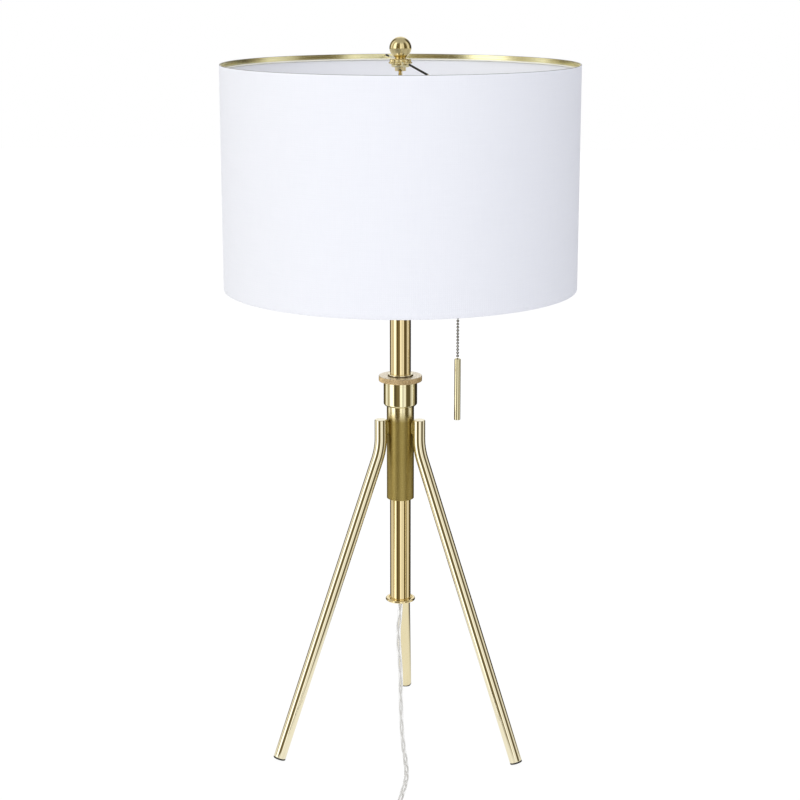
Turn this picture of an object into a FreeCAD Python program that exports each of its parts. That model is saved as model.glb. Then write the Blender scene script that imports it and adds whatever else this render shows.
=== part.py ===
# Adjustable tripod table lamp: bent brass legs round a sleeve, a sliding pole held by a
# knurled lock nut, a pull-chain socket and a white drum shade. Millimetres, +Z up.
# The origin is on the floor, on the pole's axis. The front of the lamp faces -Y.
import FreeCAD, Part
import math
import os

V = FreeCAD.Vector
UP = V(0, 0, 1)
os.makedirs("parts", exist_ok=True)

# How finely round forms are cut
ARC_CHORDS = 3        # chords to an arc in an outline
BALL_CHORDS = 10      # chords to the finial's ball
ROUND_SIDES = 24      # flats round a plain form
FINE_SIDES = 40       # flats round a form that shows
LARGE_SIDES = 60      # flats round the shade's wire rings
TUBE_SIDES = 12       # flats round the chain's arm
WIRE_SIDES = 6        # flats round a bent wire
CORD_SIDES = 6        # flats round the cord
BEAD_SIDES = 8        # flats round the chain's beads

# Clearances
RUNNING = 0.05        # radial, a turned fit that slides or turns
FREE = 0.35           # between pieces that move past each other untouched
THREAD_GAP = 0.35     # radial, between the nut's bore and the stem's crest

# Sliding pole
POLE_R = 10.75
POLE_WALL = 1.2
POLE_END_Z = 153.6
POLE_TOP_Z = 486.0
POLE_BORE_R = POLE_R - POLE_WALL

# End stop and cord bushing at the pole's lower end
STOP_R = 15.4
STOP_THICK = 2.8
STOP_LIP = 1.0
STOP_LIP_R = 8.6
BUSHING_HOLE_R = 6.0
BUSHING_FLARE = 1.2
BUSHING_TALL = 7.0
BUSHING_PROUD = 0.6

# Sleeve that the legs are brazed to
SLEEVE_R = 14.0
SLEEVE_WALL = 1.4
SLEEVE_BOTTOM_Z = 264.0
SLEEVE_TOP_Z = 378.0
GUIDE_TALL = 14.0
GUIDE_RECESS = 0.8

# Clamp collar, split collet and lock nut
COLLAR_R = 17.2
COLLAR_BOTTOM_Z = 362.0
COLLAR_TOP_Z = 385.0
COLLAR_CHAMFER = 1.7
STEM_R = 15.5
STEM_CHAMFER = 0.6
COLLET_R = 13.25
COLLET_CONE_TALL = 4.0
COLLET_LIP_R = 12.6
COLLET_LIP_PROUD = 1.8
COLLET_SLOTS = 4
COLLET_SLOT_WIDE = 1.0
COLLET_SLOT_DEEP = 12.0
NUT_R = 22.0
NUT_RIM_TALL = 4.0
NUT_CONE_TALL = 4.7
NUT_PLATE = 3.0
NUT_RIDGES = 40
NUT_RIDGE_DEEP = 0.45
NUT_HOLE_GAP = 0.4
NUT_CONE_FLARE = 0.8

# Legs
LEG_COUNT = 3
LEG_FIRST_ANGLE = 90.0
LEG_R = 6.35
LEG_WALL = 1.2
LEG_AXIS_R = 22.6
LEG_STUB = 18.96        # upright length above the bend
LEG_LEAN = 20.52
LEG_FOOT_R = 142.1      # where a leg's centreline would meet the floor
LEG_BEND_R = 65.0
LEG_TOP_ROUND = 0.7
BRAZING_WIDE = 6.0      # brazing between leg and sleeve
BRAZING_TALL = 15.0
BRAZING_DROP = 2.0      # below the leg's top

# Foot caps
CAP_THICK = 2.4
CAP_SPIGOT = 9.0
CAP_SUNK = 0.6          # how deep the floor cuts the cap's corner, which makes its resting flat

# Pole top: plug, nipple, harp saddle and jam nut
PLUG_R = 12.5
PLUG_HEAD = 3.5
PLUG_CHAMFER = 0.6
PLUG_SPIGOT = 12.0
NIPPLE_R = 4.9
NIPPLE_BORE_R = 3.3
NIPPLE_BELOW = 16.0
SADDLE_THICK = 1.5
SADDLE_WIDE = 12.0
TONGUE_WIDE = 5.0
TONGUE_TALL = 15.0
JAM_NUT_FLATS = 14.3
JAM_NUT_THICK = 3.0

# Harp
HARP_WIRE_R = 1.6
HARP_FOOT_Y = 24.0
HARP_STRAIGHT = 34.0    # heights from here are above the harp's feet
HARP_KNEE_Y = 48.0
HARP_KNEE = 78.0
HARP_SIDE_Y = 52.0
HARP_SIDE = 118.0
HARP_SHOULDER_Y = 44.0
HARP_SHOULDER = 160.0
HARP_CROWN_Y = 24.0
HARP_CROWN = 193.0
HARP_TOP_RUN = 5.0      # level run beside the seat
HARP_SEAT_R = 5.5
HARP_SEAT_THICK = 1.6
STUD_R = 2.95
STUD_TALL = 10.5
FERRULE_TALL = 11.0
FERRULE_WALL = 0.9

# Socket
CAP_HUB_R = 8.0
CAP_HUB_TALL = 3.0
SOCKET_CAP_R = 17.4
SOCKET_CAP_TALL = 18.0
SOCKET_WALL = 0.8
CAP_KNEE = 8.0          # where the cap's shoulder meets its wall, above its foot
CAP_BELLY = 2.2         # middle of the shoulder's curve, in from the wall
CAP_BELLY_DROP = 4.0    # and below the knee
SHELL_R = SOCKET_CAP_R - SOCKET_WALL
SHELL_SUNK = 5.0        # how far the shell and its liner go into the cap
SHELL_BEAD = 1.0
SHELL_BEAD_TALL = 2.4
SHELL_TOP_RISE = 54.0   # shell's upper rim above the cap's foot
LINER_WALL = 0.6
SCREW_SHELL_R = 14.2
SCREW_SHELL_WALL = 0.5
SCREW_SHELL_TALL = 22.0
HOUSING_R = 15.0
HOUSING_FOOT_R = 7.0
HOUSING_FOOT_TALL = 2.5
HOUSING_SHOULDER = 4.0
HOUSING_HIGH = 31.0     # housing's top above the cap's foot
BOSS_SOCKET = 5.0       # how far the arm's end goes into the housing
CONTACT_R = 3.5
CONTACT_GAP = 1.5
CONTACT_THICK = 1.2

# Pull chain: arm, beads and pendant
CHAIN_X = 58.3
ARM_TUBE_R = 2.8
ARM_BORE_R = 1.9
ARM_RISE = 26.0         # above the cap's foot
ARM_BEND_R = 6.5
ARM_DROP = 24.5         # from the arm's centreline to the mouth
MOUTH_R = 4.3
MOUTH_WALL = 0.8
MOUTH_TALL = 3.0
BEAD_R = 1.2
BEAD_PITCH = 3.3
LINK_R = 0.45
BEAD_COUNT_INSIDE = 5
BEAD_COUNT = 30
PENDANT_R = 3.2
PENDANT_GAP = 0.4       # from the last link to the pendant's top
PENDANT_LONG = 64.8
PENDANT_EDGE = 0.8
PENDANT_POINT = 1.2
PENDANT_NECK_R = 1.9
PENDANT_NECK_TALL = 4.0

# Bulb, a standard frosted pear bulb
BULB_BASE_R = 13.1
BULB_BASE_TALL = 22.0
BULB_TIP_R = 4.5
BULB_TIP_TALL = 3.5
BULB_EDGE = 1.2
BULB_NECK_R = 13.6
BULB_NECK_TALL = 6.0
BULB_FLARE_R = 15.5     # middle of the curve from neck to globe
BULB_FLARE_RISE = 18.0
BULB_JOIN = 38.0        # how far below its widest the globe's curve begins, in degrees
BULB_R = 30.0
BULB_TALL = 84.0        # glass above the metal base
GLASS_WALL = 1.0

# Shade
SHADE_R = 177.8
SHADE_WALL = 1.0
SHADE_BOTTOM_Z = 485.7
SHADE_TOP_Z = 707.75
BAND_TALL = 6.0
BAND_WALL = 0.6
RING_WIRE_R = 1.4
RING_DROP = 2.6         # ring wire's centre below the shade's top edge
BOTTOM_WIRE_R = 1.3
HEM_RISE = 0.6          # from the shade's lower edge to the wire
HUB_R = 9.0
HUB_THICK = 2.6
HUB_Z = 704.7
ARM_WIRE_R = 1.3
ARM_ANGLE = -79.0
ARMS = 2

# Finial
FINIAL_GAP = 0.3
FINIAL_RIM_R = 11.2
FINIAL_RIM_TALL = 2.2
FINIAL_CUP_R = 10.1
FINIAL_CUP_TALL = 2.8
FINIAL_NECK_R = 5.5
FINIAL_BALL_R = 10.8
FINIAL_NECK_TALL = 1.4
FINIAL_EDGE = 0.4
FINIAL_BORE_OVER = 1.0  # bore's depth beyond the stud's end

# Lead wires inside the pole
WIRE_R = 0.9
WIRE_SPREAD = 1.5
WIRE_LOW_Z = 372.0
WIRE_SOCKET = 5.0       # how far the leads go into the housing

# Clear round cord, two cores, and its plug
CORD_R = 2.5
CORD_INNER_TOP_Z = 290.0
CORD_EXIT_Z = 150.0
COIL_R_OUT = 40.0
COIL_PITCH = 5.5
COIL_TURNS = 7.875      # turns in all: half of them spiral in below, half spiral out above
COIL_LIFT = 5.5
COIL_X = -35.0
COIL_Y = -234.0
TUBE_END = 2 * CORD_R   # a coil's end runs straight for one cord diameter
PLUG_LONG = 22.0
PLUG_WIDE = 22.0
PLUG_THICK = 14.0
RELIEF_LONG = 18.0
RELIEF_R = 5.6
RELIEF_TIP_R = 3.3
BLADE_LONG = 17.0
BLADE_WIDE = 6.35
BLADE_THICK = 1.5
BLADE_SPACING = 12.7
BLADE_SUNK = 4.0


def save(name, shape):
    """Write one node's solid or group of solids."""
    shape.exportStep("parts/" + name + ".step")


def outline_of(points, chords=ARC_CHORDS):
    """Closed outline of (radius, height) corners. A corner written (radius, height, mid_radius,
    mid_height) is reached by an arc, which is cut into so many chords."""
    outline = [V(points[0][0], 0, points[0][1])]
    for corner in points[1:]:
        there = V(corner[0], 0, corner[1])
        if len(corner) == 4:
            arc = Part.Arc(outline[-1], V(corner[2], 0, corner[3]), there).toShape()
            outline += arc.discretize(Number=chords + 1)[1:-1]
        outline.append(there)
    return outline


def turned(points):
    """Solid of revolution about +Z from an outline, with truly round faces."""
    outline = outline_of(points)
    return Part.Face(Part.makePolygon(outline + outline[:1])).revolve(V(0, 0, 0), UP, 360)


def faceted(points, sides, chords=ARC_CHORDS):
    """The same solid with flats round it, for outlines that nothing runs on."""
    turns = [2 * math.pi * i / sides for i in range(sides + 1)]
    loops = [[V(p.x * math.cos(a), p.x * math.sin(a), p.z) for a in turns] for p in outline_of(points, chords)]
    faces = []
    for near, far in zip(loops, loops[1:] + loops[:1]):
        for i in range(sides):
            corners = [near[i], near[i + 1], far[i + 1], far[i]]
            corners = [c for j, c in enumerate(corners) if (c - corners[j - 1]).Length > 1e-9]
            if len(corners) > 2:
                faces.append(Part.Face(Part.makePolygon(corners + corners[:1])))
    solid = Part.makeSolid(Part.Shell(faces))
    if solid.Volume < 0:
        solid.reverse()
    return solid.removeSplitter()


def wire_ring(centre_r, centre_z, wire_r):
    """Ring of wire about +Z, with WIRE_SIDES flats to its section."""
    steps = [2 * math.pi * (i + 0.5) / WIRE_SIDES for i in range(WIRE_SIDES)]
    section = [(centre_r + wire_r * math.cos(a), centre_z + wire_r * math.sin(a)) for a in steps]
    return faceted(section, LARGE_SIDES)


def ring(inner_r, outer_r, low, high):
    """Plain tube or disc along +Z."""
    if inner_r <= 0:
        return Part.makeCylinder(outer_r, high - low, V(0, 0, low))
    return turned([(inner_r, low), (outer_r, low), (outer_r, high), (inner_r, high)])


def placed(shape, point, angle=0.0):
    """Copy of a shape turned about +Z and then moved."""
    copy = shape.copy()
    copy.rotate(V(0, 0, 0), UP, angle)
    copy.translate(point)
    return copy


def arc_middle(start, tangent, end):
    """Middle of the arc that leaves start along tangent and reaches end."""
    chord = end - start
    along = V(chord).normalize()
    side = tangent - along * tangent.dot(along)
    if side.Length < 1e-9:
        return None
    half_turn = math.acos(max(-1, min(1, tangent.dot(along))))
    return start + chord * 0.5 + side.normalize() * (chord.Length / 2 * math.tan(half_turn / 2))


def rounded_route(points):
    """Straight runs joined by tangent arcs, as edges, with the arcs' radii."""
    edges, radii = [], []
    here = points[0]
    for before, corner, after in zip(points, points[1:], points[2:]):
        come = (corner - before).normalize()
        leave = (after - corner).normalize()
        shorter = min((corner - before).Length, (after - corner).Length)
        half_turn = math.acos(max(-1, min(1, come.dot(leave)))) / 2
        cut = 0.45 * shorter
        start, end = corner - come * cut, corner + leave * cut
        radii.append(cut / math.tan(half_turn))
        edges.append(Part.LineSegment(here, start).toShape())
        edges.append(Part.Arc(start, arc_middle(start, come, end), end).toShape())
        here = end
    edges.append(Part.LineSegment(here, points[-1]).toShape())
    return edges, radii


def swept(edges, radius, sides):
    """Solid wire or cord along tangent edges, with flats to its section and a corner on top."""
    first = edges[0]
    start = first.valueAt(first.FirstParameter)
    heading = first.tangentAt(first.FirstParameter)
    across = heading.cross(UP) if abs(heading.z) < 0.9 else V(1, 0, 0)
    across.normalize()
    upward = across.cross(heading)
    corners = []
    for i in range(sides + 1):
        a = 2 * math.pi * i / sides
        corners.append(start + upward * (radius * math.cos(a)) + across * (radius * math.sin(a)))
    shell = Part.BRepOffsetAPI.MakePipeShell(Part.Wire(edges))
    shell.add(Part.makePolygon(corners))
    shell.build()
    shell.makeSolid()
    solid = shell.shape()
    length = sum(edge.Length for edge in edges)
    section = sides / 2 * radius ** 2 * math.sin(2 * math.pi / sides)
    return solid, length, solid.Volume / (section * length)


def hexagon(flats, thick, low):
    """Hex prism along +Z."""
    corner_r = flats / 2 / math.cos(math.pi / 6)
    corners = [V(corner_r * math.cos(math.radians(60 * i)), corner_r * math.sin(math.radians(60 * i)), low)
               for i in range(7)]
    return Part.Face(Part.makePolygon(corners)).extrude(V(0, 0, thick))


# --- Pole and what is fixed to its lower end -------------------------------------------

def pole_tube():
    return ring(POLE_BORE_R, POLE_R, POLE_END_Z, POLE_TOP_Z)


def end_stop():
    """Thin disc with a rounded rim, seated round the pole's end with a lip under it."""
    low = POLE_END_Z - STOP_LIP
    high = low + STOP_THICK
    round_r = STOP_THICK / 2
    disc = faceted([
        (0, low),
        (STOP_R - round_r, low),
        (STOP_R - round_r, high, STOP_R, low + round_r),
        (0, high),
    ], FINE_SIDES)
    seat = Part.makeCylinder(POLE_R, STOP_THICK, V(0, 0, POLE_END_Z))
    return disc.cut([seat, Part.makeCylinder(STOP_LIP_R, 3 * STOP_THICK, V(0, 0, low - STOP_THICK))])


def cord_bushing():
    """Plastic bushing inside the pole's end, with a flared mouth for the cord."""
    low = POLE_END_Z - STOP_LIP - BUSHING_PROUD
    return faceted([
        (BUSHING_HOLE_R + BUSHING_FLARE, low),
        (STOP_LIP_R, low),
        (STOP_LIP_R, POLE_END_Z),
        (POLE_BORE_R, POLE_END_Z),
        (POLE_BORE_R, POLE_END_Z + BUSHING_TALL),
        (BUSHING_HOLE_R + BUSHING_FLARE, POLE_END_Z + BUSHING_TALL),
        (BUSHING_HOLE_R, POLE_END_Z + BUSHING_TALL - BUSHING_FLARE),
        (BUSHING_HOLE_R, low + BUSHING_FLARE),
    ], ROUND_SIDES)


# --- Sleeve, collar, collet and nut ----------------------------------------------------

def sleeve_tube():
    return ring(SLEEVE_R - SLEEVE_WALL, SLEEVE_R, SLEEVE_BOTTOM_Z, SLEEVE_TOP_Z)


def guide_bush():
    """Nylon ring in the sleeve's lower mouth that keeps the pole central."""
    low = SLEEVE_BOTTOM_Z + GUIDE_RECESS
    return ring(POLE_R + RUNNING, SLEEVE_R - SLEEVE_WALL, low, low + GUIDE_TALL)


def clamp_collar():
    """Turned collar brazed over the sleeve's top, with the stem that the nut screws onto."""
    stem_top = nut_top_z() - NUT_PLATE - FREE
    collar = faceted([
        (0, COLLAR_BOTTOM_Z),
        (COLLAR_R - COLLAR_CHAMFER, COLLAR_BOTTOM_Z),
        (COLLAR_R, COLLAR_BOTTOM_Z + COLLAR_CHAMFER),
        (COLLAR_R, COLLAR_TOP_Z),
        (STEM_R, COLLAR_TOP_Z),
        (STEM_R, stem_top - STEM_CHAMFER),
        (STEM_R - STEM_CHAMFER, stem_top),
        (0, stem_top),
    ], FINE_SIDES)
    seat = Part.makeCylinder(SLEEVE_R, SLEEVE_TOP_Z - SLEEVE_BOTTOM_Z, V(0, 0, SLEEVE_BOTTOM_Z))
    bore = Part.makeCylinder(COLLET_R + RUNNING, stem_top, V(0, 0, SLEEVE_BOTTOM_Z))
    return collar.cut([seat, bore])


def nut_bottom_z():
    return COLLAR_TOP_Z + FREE


def nut_top_z():
    return nut_bottom_z() + NUT_CONE_TALL + NUT_RIM_TALL


def collet():
    """Split bush that the nut squeezes onto the pole; its lip shows above the nut."""
    low = SLEEVE_TOP_Z + FREE
    top = nut_top_z() + COLLET_LIP_PROUD
    cone_low = COLLAR_TOP_Z + 2.0
    bush = turned([
        (POLE_R + RUNNING, low),
        (COLLET_R, low),
        (COLLET_R, cone_low),
        (COLLET_LIP_R, cone_low + COLLET_CONE_TALL),
        (COLLET_LIP_R, top - 0.3),
        (COLLET_LIP_R - 0.3, top),
        (POLE_R + RUNNING, top),
    ])
    for i in range(COLLET_SLOTS):
        slot = Part.makeBox(2 * COLLET_R, COLLET_SLOT_WIDE, COLLET_SLOT_DEEP,
                            V(0, -COLLET_SLOT_WIDE / 2, top - COLLET_SLOT_DEEP))
        bush = bush.cut(placed(slot, V(0, 0, 0), 45 + 360 / COLLET_SLOTS * i))
    return bush


def lock_nut():
    """Knurled ring nut: a ridged rim over a coned underside, bored for stem and collet."""
    low, top = nut_bottom_z(), nut_top_z()
    rim_low = low + NUT_CONE_TALL
    thread_r = STEM_R + THREAD_GAP
    plate_low = top - NUT_PLATE
    hole_r = COLLET_LIP_R + NUT_HOLE_GAP
    body = faceted([
        (thread_r, low),
        (COLLAR_R + 0.2, low),
        (NUT_R, rim_low),
        (NUT_R, top - 0.5),
        (NUT_R - 0.5, top),
        (hole_r, top),
        (hole_r + NUT_CONE_FLARE, plate_low),
        (thread_r, plate_low),
    ], NUT_RIDGES)
    corners = []
    for i in range(2 * NUT_RIDGES):
        r = NUT_R / math.cos(math.pi / NUT_RIDGES / 2) if i % 2 == 0 else NUT_R - NUT_RIDGE_DEEP
        a = math.pi * i / NUT_RIDGES
        corners.append(V(r * math.cos(a), r * math.sin(a), low - 1))
    corners.append(corners[0])
    ridged = Part.Face(Part.makePolygon(corners)).extrude(V(0, 0, top - low + 2))
    return body.common(ridged)


# --- Legs and feet ---------------------------------------------------------------------

def leg_frame():
    """Centreline of a leg in its own radial plane: bend start height, bend end, foot end."""
    lean = math.radians(LEG_LEAN)
    corner_z = (LEG_FOOT_R - LEG_AXIS_R) / math.tan(lean)
    tangent = LEG_BEND_R * math.tan(lean / 2)
    down = V(math.sin(lean), 0, -math.cos(lean))
    bend_start = V(LEG_AXIS_R, 0, corner_z + tangent)
    bend_end = V(LEG_AXIS_R, 0, corner_z) + down * tangent
    # The cap's end face is square to the leg, and its lower corner lies CAP_SUNK under the floor.
    corner_drop = LEG_R * math.sin(lean)
    end_z = corner_drop - CAP_SUNK
    foot_end = bend_end + down * ((bend_end.z - end_z) / math.cos(lean))
    return bend_start, bend_end, foot_end, down, lean


def leg_rod(radius, top_z, shorter):
    """Rod along a leg's centreline, from top_z to a distance short of the foot's end."""
    bend_start, bend_end, foot_end, down, lean = leg_frame()
    stub = Part.makeCylinder(radius, top_z - bend_start.z, bend_start)
    disc = Part.Face(Part.Wire(Part.Circle(bend_start, UP, radius).toShape()))
    centre = V(LEG_AXIS_R + LEG_BEND_R, 0, bend_start.z)
    bend = disc.revolve(centre, V(0, 1, 0), -LEG_LEAN)
    straight = Part.makeCylinder(radius, (foot_end - bend_end).Length - shorter, bend_end, down)
    return stub.fuse([bend, straight]).removeSplitter()


def leg():
    """Tube with a closed, bent top, and the brazing bead that joins it to the sleeve."""
    bore_r = LEG_R - LEG_WALL
    bend_start, bend_end, foot_end, down, _ = leg_frame()
    top_z = bend_start.z + LEG_STUB
    tube = leg_rod(LEG_R, top_z, CAP_THICK)
    top_edges = [e for e in tube.Edges if abs(e.CenterOfMass.z - top_z) < 1e-6 and e.Length > LEG_R]
    tube = tube.makeChamfer(LEG_TOP_ROUND, top_edges)
    brazing = Part.makeBox(LEG_AXIS_R, BRAZING_WIDE, BRAZING_TALL,
                           V(0, -BRAZING_WIDE / 2, top_z - BRAZING_DROP - BRAZING_TALL))
    brazing = brazing.cut(Part.makeCylinder(SLEEVE_R, top_z))
    hollow = Part.makeCylinder(bore_r, (foot_end - bend_end).Length, bend_end, down)
    return tube.fuse(brazing).cut(hollow)


def foot_cap():
    """Pressed-in end cap, cut flat where it stands on the floor."""
    _, _, foot_end, down, _ = leg_frame()
    head = Part.makeCylinder(LEG_R, CAP_THICK, foot_end, -down)
    spigot = Part.makeCylinder(LEG_R - LEG_WALL, CAP_THICK + CAP_SPIGOT, foot_end, -down)
    cap = head.fuse(spigot).removeSplitter()
    floor = Part.makeBox(8 * LEG_R, 8 * LEG_R, 4 * LEG_R,
                         V(foot_end.x - 4 * LEG_R, -4 * LEG_R, -4 * LEG_R))
    return cap.cut(floor)


# --- Pole top and harp -----------------------------------------------------------------

SADDLE_Z = POLE_TOP_Z + PLUG_HEAD
JAM_NUT_Z = SADDLE_Z + SADDLE_THICK
SOCKET_Z = JAM_NUT_Z + JAM_NUT_THICK
HARP_TOP_Z = HUB_Z - FREE - HARP_SEAT_THICK - HARP_WIRE_R


def pole_plug():
    """Turned plug that closes the pole's top and carries the nipple."""
    low = POLE_TOP_Z - PLUG_SPIGOT
    plug = faceted([
        (0, low),
        (POLE_BORE_R, low),
        (POLE_BORE_R, POLE_TOP_Z),
        (PLUG_R, POLE_TOP_Z),
        (PLUG_R, SADDLE_Z - PLUG_CHAMFER),
        (PLUG_R - PLUG_CHAMFER, SADDLE_Z),
        (0, SADDLE_Z),
    ], ROUND_SIDES)
    return plug.cut(Part.makeCylinder(NIPPLE_R, 2 * (SADDLE_Z - low), V(0, 0, low - PLUG_HEAD)))


def nipple():
    return ring(NIPPLE_BORE_R, NIPPLE_R, POLE_TOP_Z - NIPPLE_BELOW, SOCKET_Z + CAP_HUB_TALL)


def harp_saddle():
    """Flat strip across the nipple, with a tongue turned up beside each foot of the harp."""
    reach = HARP_FOOT_Y + HARP_WIRE_R + 0.6
    strip = Part.makeBox(SADDLE_WIDE, 2 * reach, SADDLE_THICK, V(-SADDLE_WIDE / 2, -reach, SADDLE_Z))
    ends = [e for e in strip.Edges if abs(e.Length - SADDLE_THICK) < 1e-6]
    strip = strip.makeFillet(SADDLE_WIDE / 2 - 1.5, ends)
    tongue_y = HARP_FOOT_Y - HARP_WIRE_R
    for side in (-1, 1):
        near = min(side * tongue_y, side * (tongue_y - SADDLE_THICK))
        tongue = Part.makeBox(TONGUE_WIDE, SADDLE_THICK, TONGUE_TALL, V(-TONGUE_WIDE / 2, near, SADDLE_Z))
        strip = strip.fuse(tongue)
    return strip.removeSplitter().cut(Part.makeCylinder(NIPPLE_R, 3 * SADDLE_THICK, V(0, 0, SADDLE_Z - SADDLE_THICK)))


def jam_nut():
    return hexagon(JAM_NUT_FLATS, JAM_NUT_THICK, JAM_NUT_Z).cut(
        Part.makeCylinder(NIPPLE_R, 3 * JAM_NUT_THICK, V(0, 0, JAM_NUT_Z - JAM_NUT_THICK)))


def harp_wire():
    """One bent wire, front to rear, with the brazed seat and the finial's stud on top."""
    foot_z = JAM_NUT_Z
    half = [
        V(0, HARP_FOOT_Y, foot_z),
        V(0, HARP_FOOT_Y, foot_z + HARP_STRAIGHT),
        V(0, HARP_KNEE_Y, foot_z + HARP_KNEE),
        V(0, HARP_SIDE_Y, foot_z + HARP_SIDE),
        V(0, HARP_SHOULDER_Y, foot_z + HARP_SHOULDER),
        V(0, HARP_CROWN_Y, foot_z + HARP_CROWN),
        V(0, HARP_SEAT_R + HARP_TOP_RUN, HARP_TOP_Z),
    ]
    route = half + [V(0, -p.y, p.z) for p in reversed(half)]
    edges, _ = rounded_route(route)
    wire, _, share = swept(edges, HARP_WIRE_R, WIRE_SIDES)
    print("harp wire volume over section times length", round(share, 4))
    return wire


def harp_stud():
    """Round seat saddled on the harp's wire, with the threaded stud for the finial."""
    seat_low = HARP_TOP_Z - 0.2
    seat = Part.makeCylinder(HARP_SEAT_R, HARP_TOP_Z + HARP_WIRE_R + HARP_SEAT_THICK - seat_low, V(0, 0, seat_low))
    stud = Part.makeCylinder(STUD_R, STUD_TALL, V(0, 0, HARP_TOP_Z + HARP_WIRE_R + HARP_SEAT_THICK))
    groove = Part.makeCylinder(HARP_WIRE_R, 6 * HARP_SEAT_R, V(0, -3 * HARP_SEAT_R, HARP_TOP_Z), V(0, 1, 0))
    return seat.fuse(stud).removeSplitter().cut(groove)


def ferrule(side):
    """Sliding keeper that holds the harp's foot against its tongue."""
    in_y = HARP_WIRE_R * 2 + SADDLE_THICK + 2 * FREE
    in_x = TONGUE_WIDE + 2 * FREE
    centre_y = side * (HARP_FOOT_Y + HARP_WIRE_R - (HARP_WIRE_R * 2 + SADDLE_THICK) / 2)
    low = JAM_NUT_Z + FREE
    outer = Part.makeBox(in_x + 2 * FERRULE_WALL, in_y + 2 * FERRULE_WALL, FERRULE_TALL,
                         V(-in_x / 2 - FERRULE_WALL, centre_y - in_y / 2 - FERRULE_WALL, low))
    outer = outer.makeFillet(1.6, [e for e in outer.Edges if abs(e.Length - FERRULE_TALL) < 1e-6])
    inner = Part.makeBox(in_x, in_y, FERRULE_TALL, V(-in_x / 2, centre_y - in_y / 2, low))
    return outer.cut(inner)


# --- Socket ----------------------------------------------------------------------------

ARM_Z = SOCKET_Z + ARM_RISE
MOUTH_Z = ARM_Z - ARM_DROP
BOSS_HALF = ARM_TUBE_R + 0.6
SCREW_SHELL_Z = SOCKET_Z + HOUSING_HIGH
BULB_Z = SCREW_SHELL_Z + CONTACT_THICK
CAP_RIM_Z = SOCKET_Z + SOCKET_CAP_TALL


def arm_notch(low, high):
    """Space for the pull chain's arm in the walls round the switch."""
    return Part.makeBox(2 * SOCKET_CAP_R, 2 * BOSS_HALF, high - low, V(0, -BOSS_HALF, low))


def socket_cap():
    """Spun brass cap, threaded onto the nipple."""
    knee_z = SOCKET_Z + CAP_KNEE
    inner_r = SOCKET_CAP_R - SOCKET_WALL
    hub_z = SOCKET_Z + CAP_HUB_TALL
    cap = faceted([
        (0, SOCKET_Z),
        (CAP_HUB_R, SOCKET_Z),
        (CAP_HUB_R, hub_z - SOCKET_WALL),
        (SOCKET_CAP_R, knee_z, SOCKET_CAP_R - CAP_BELLY, knee_z - CAP_BELLY_DROP),
        (SOCKET_CAP_R, CAP_RIM_Z),
        (inner_r, CAP_RIM_Z),
        (inner_r, knee_z),
        (CAP_HUB_R, hub_z, inner_r - CAP_BELLY, knee_z - CAP_BELLY_DROP + SOCKET_WALL / 2),
        (0, hub_z),
    ], ROUND_SIDES)
    return cap.cut(Part.makeCylinder(NIPPLE_R, 3 * CAP_HUB_TALL, V(0, 0, SOCKET_Z - CAP_HUB_TALL)))


def socket_shell():
    """Straight brass shell with a beaded upper rim, seated inside the cap's rim."""
    low, high = CAP_RIM_Z - SHELL_SUNK, SOCKET_Z + SHELL_TOP_RISE
    wall = faceted([
        (SHELL_R - SOCKET_WALL, low),
        (SHELL_R, low),
        (SHELL_R, high - SHELL_BEAD_TALL),
        (SHELL_R, high, SHELL_R + SHELL_BEAD, high - SHELL_BEAD_TALL / 2),
        (SHELL_R - SOCKET_WALL, high),
    ], ROUND_SIDES)
    return wall.cut(arm_notch(low - 1, ARM_Z + BOSS_HALF))


def socket_liner():
    """Insulating sleeve inside the shell."""
    low, high = CAP_RIM_Z - SHELL_SUNK, SOCKET_Z + SHELL_TOP_RISE - SHELL_BEAD_TALL
    outer = SHELL_R - SOCKET_WALL
    inner = outer - LINER_WALL
    sleeve = faceted([(inner, low), (outer, low), (outer, high), (inner, high)], ROUND_SIDES)
    return sleeve.cut(arm_notch(low - 1, ARM_Z + BOSS_HALF))


def switch_housing():
    """Moulded switch body that fills the socket's lower half, with a boss for the chain's arm."""
    seat, high = SOCKET_Z + CAP_HUB_TALL, SOCKET_Z + HOUSING_HIGH
    belly = seat + HOUSING_FOOT_TALL
    body = faceted([
        (0, seat),
        (HOUSING_FOOT_R, seat),
        (HOUSING_FOOT_R, belly),
        (HOUSING_R - HOUSING_SHOULDER, belly),
        (HOUSING_R, belly + HOUSING_SHOULDER),
        (HOUSING_R, high),
        (0, high),
    ], ROUND_SIDES)
    boss = Part.makeCylinder(BOSS_HALF - 0.3, SOCKET_CAP_R, V(0, 0, ARM_Z), V(1, 0, 0))
    drill = Part.makeCylinder(ARM_TUBE_R, SOCKET_CAP_R, V(HOUSING_R - BOSS_SOCKET, 0, ARM_Z), V(1, 0, 0))
    wire_holes = [Part.makeCylinder(WIRE_R, WIRE_SOCKET, V(s * WIRE_SPREAD, 0, seat)) for s in (-1, 1)]
    return body.fuse(boss).cut([drill] + wire_holes)


def screw_shell():
    """Aluminium shell that takes the bulb's base, with an insulated hole in its floor."""
    low = SCREW_SHELL_Z
    inner = SCREW_SHELL_R - SCREW_SHELL_WALL
    hole = CONTACT_R + CONTACT_GAP
    return faceted([
        (hole, low),
        (SCREW_SHELL_R, low),
        (SCREW_SHELL_R, low + SCREW_SHELL_TALL),
        (inner, low + SCREW_SHELL_TALL),
        (inner, low + SCREW_SHELL_WALL),
        (hole, low + SCREW_SHELL_WALL),
    ], ROUND_SIDES)


def contact():
    """Centre contact that the bulb's tip sits on."""
    return ring(0, CONTACT_R, SCREW_SHELL_Z, BULB_Z)


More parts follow.
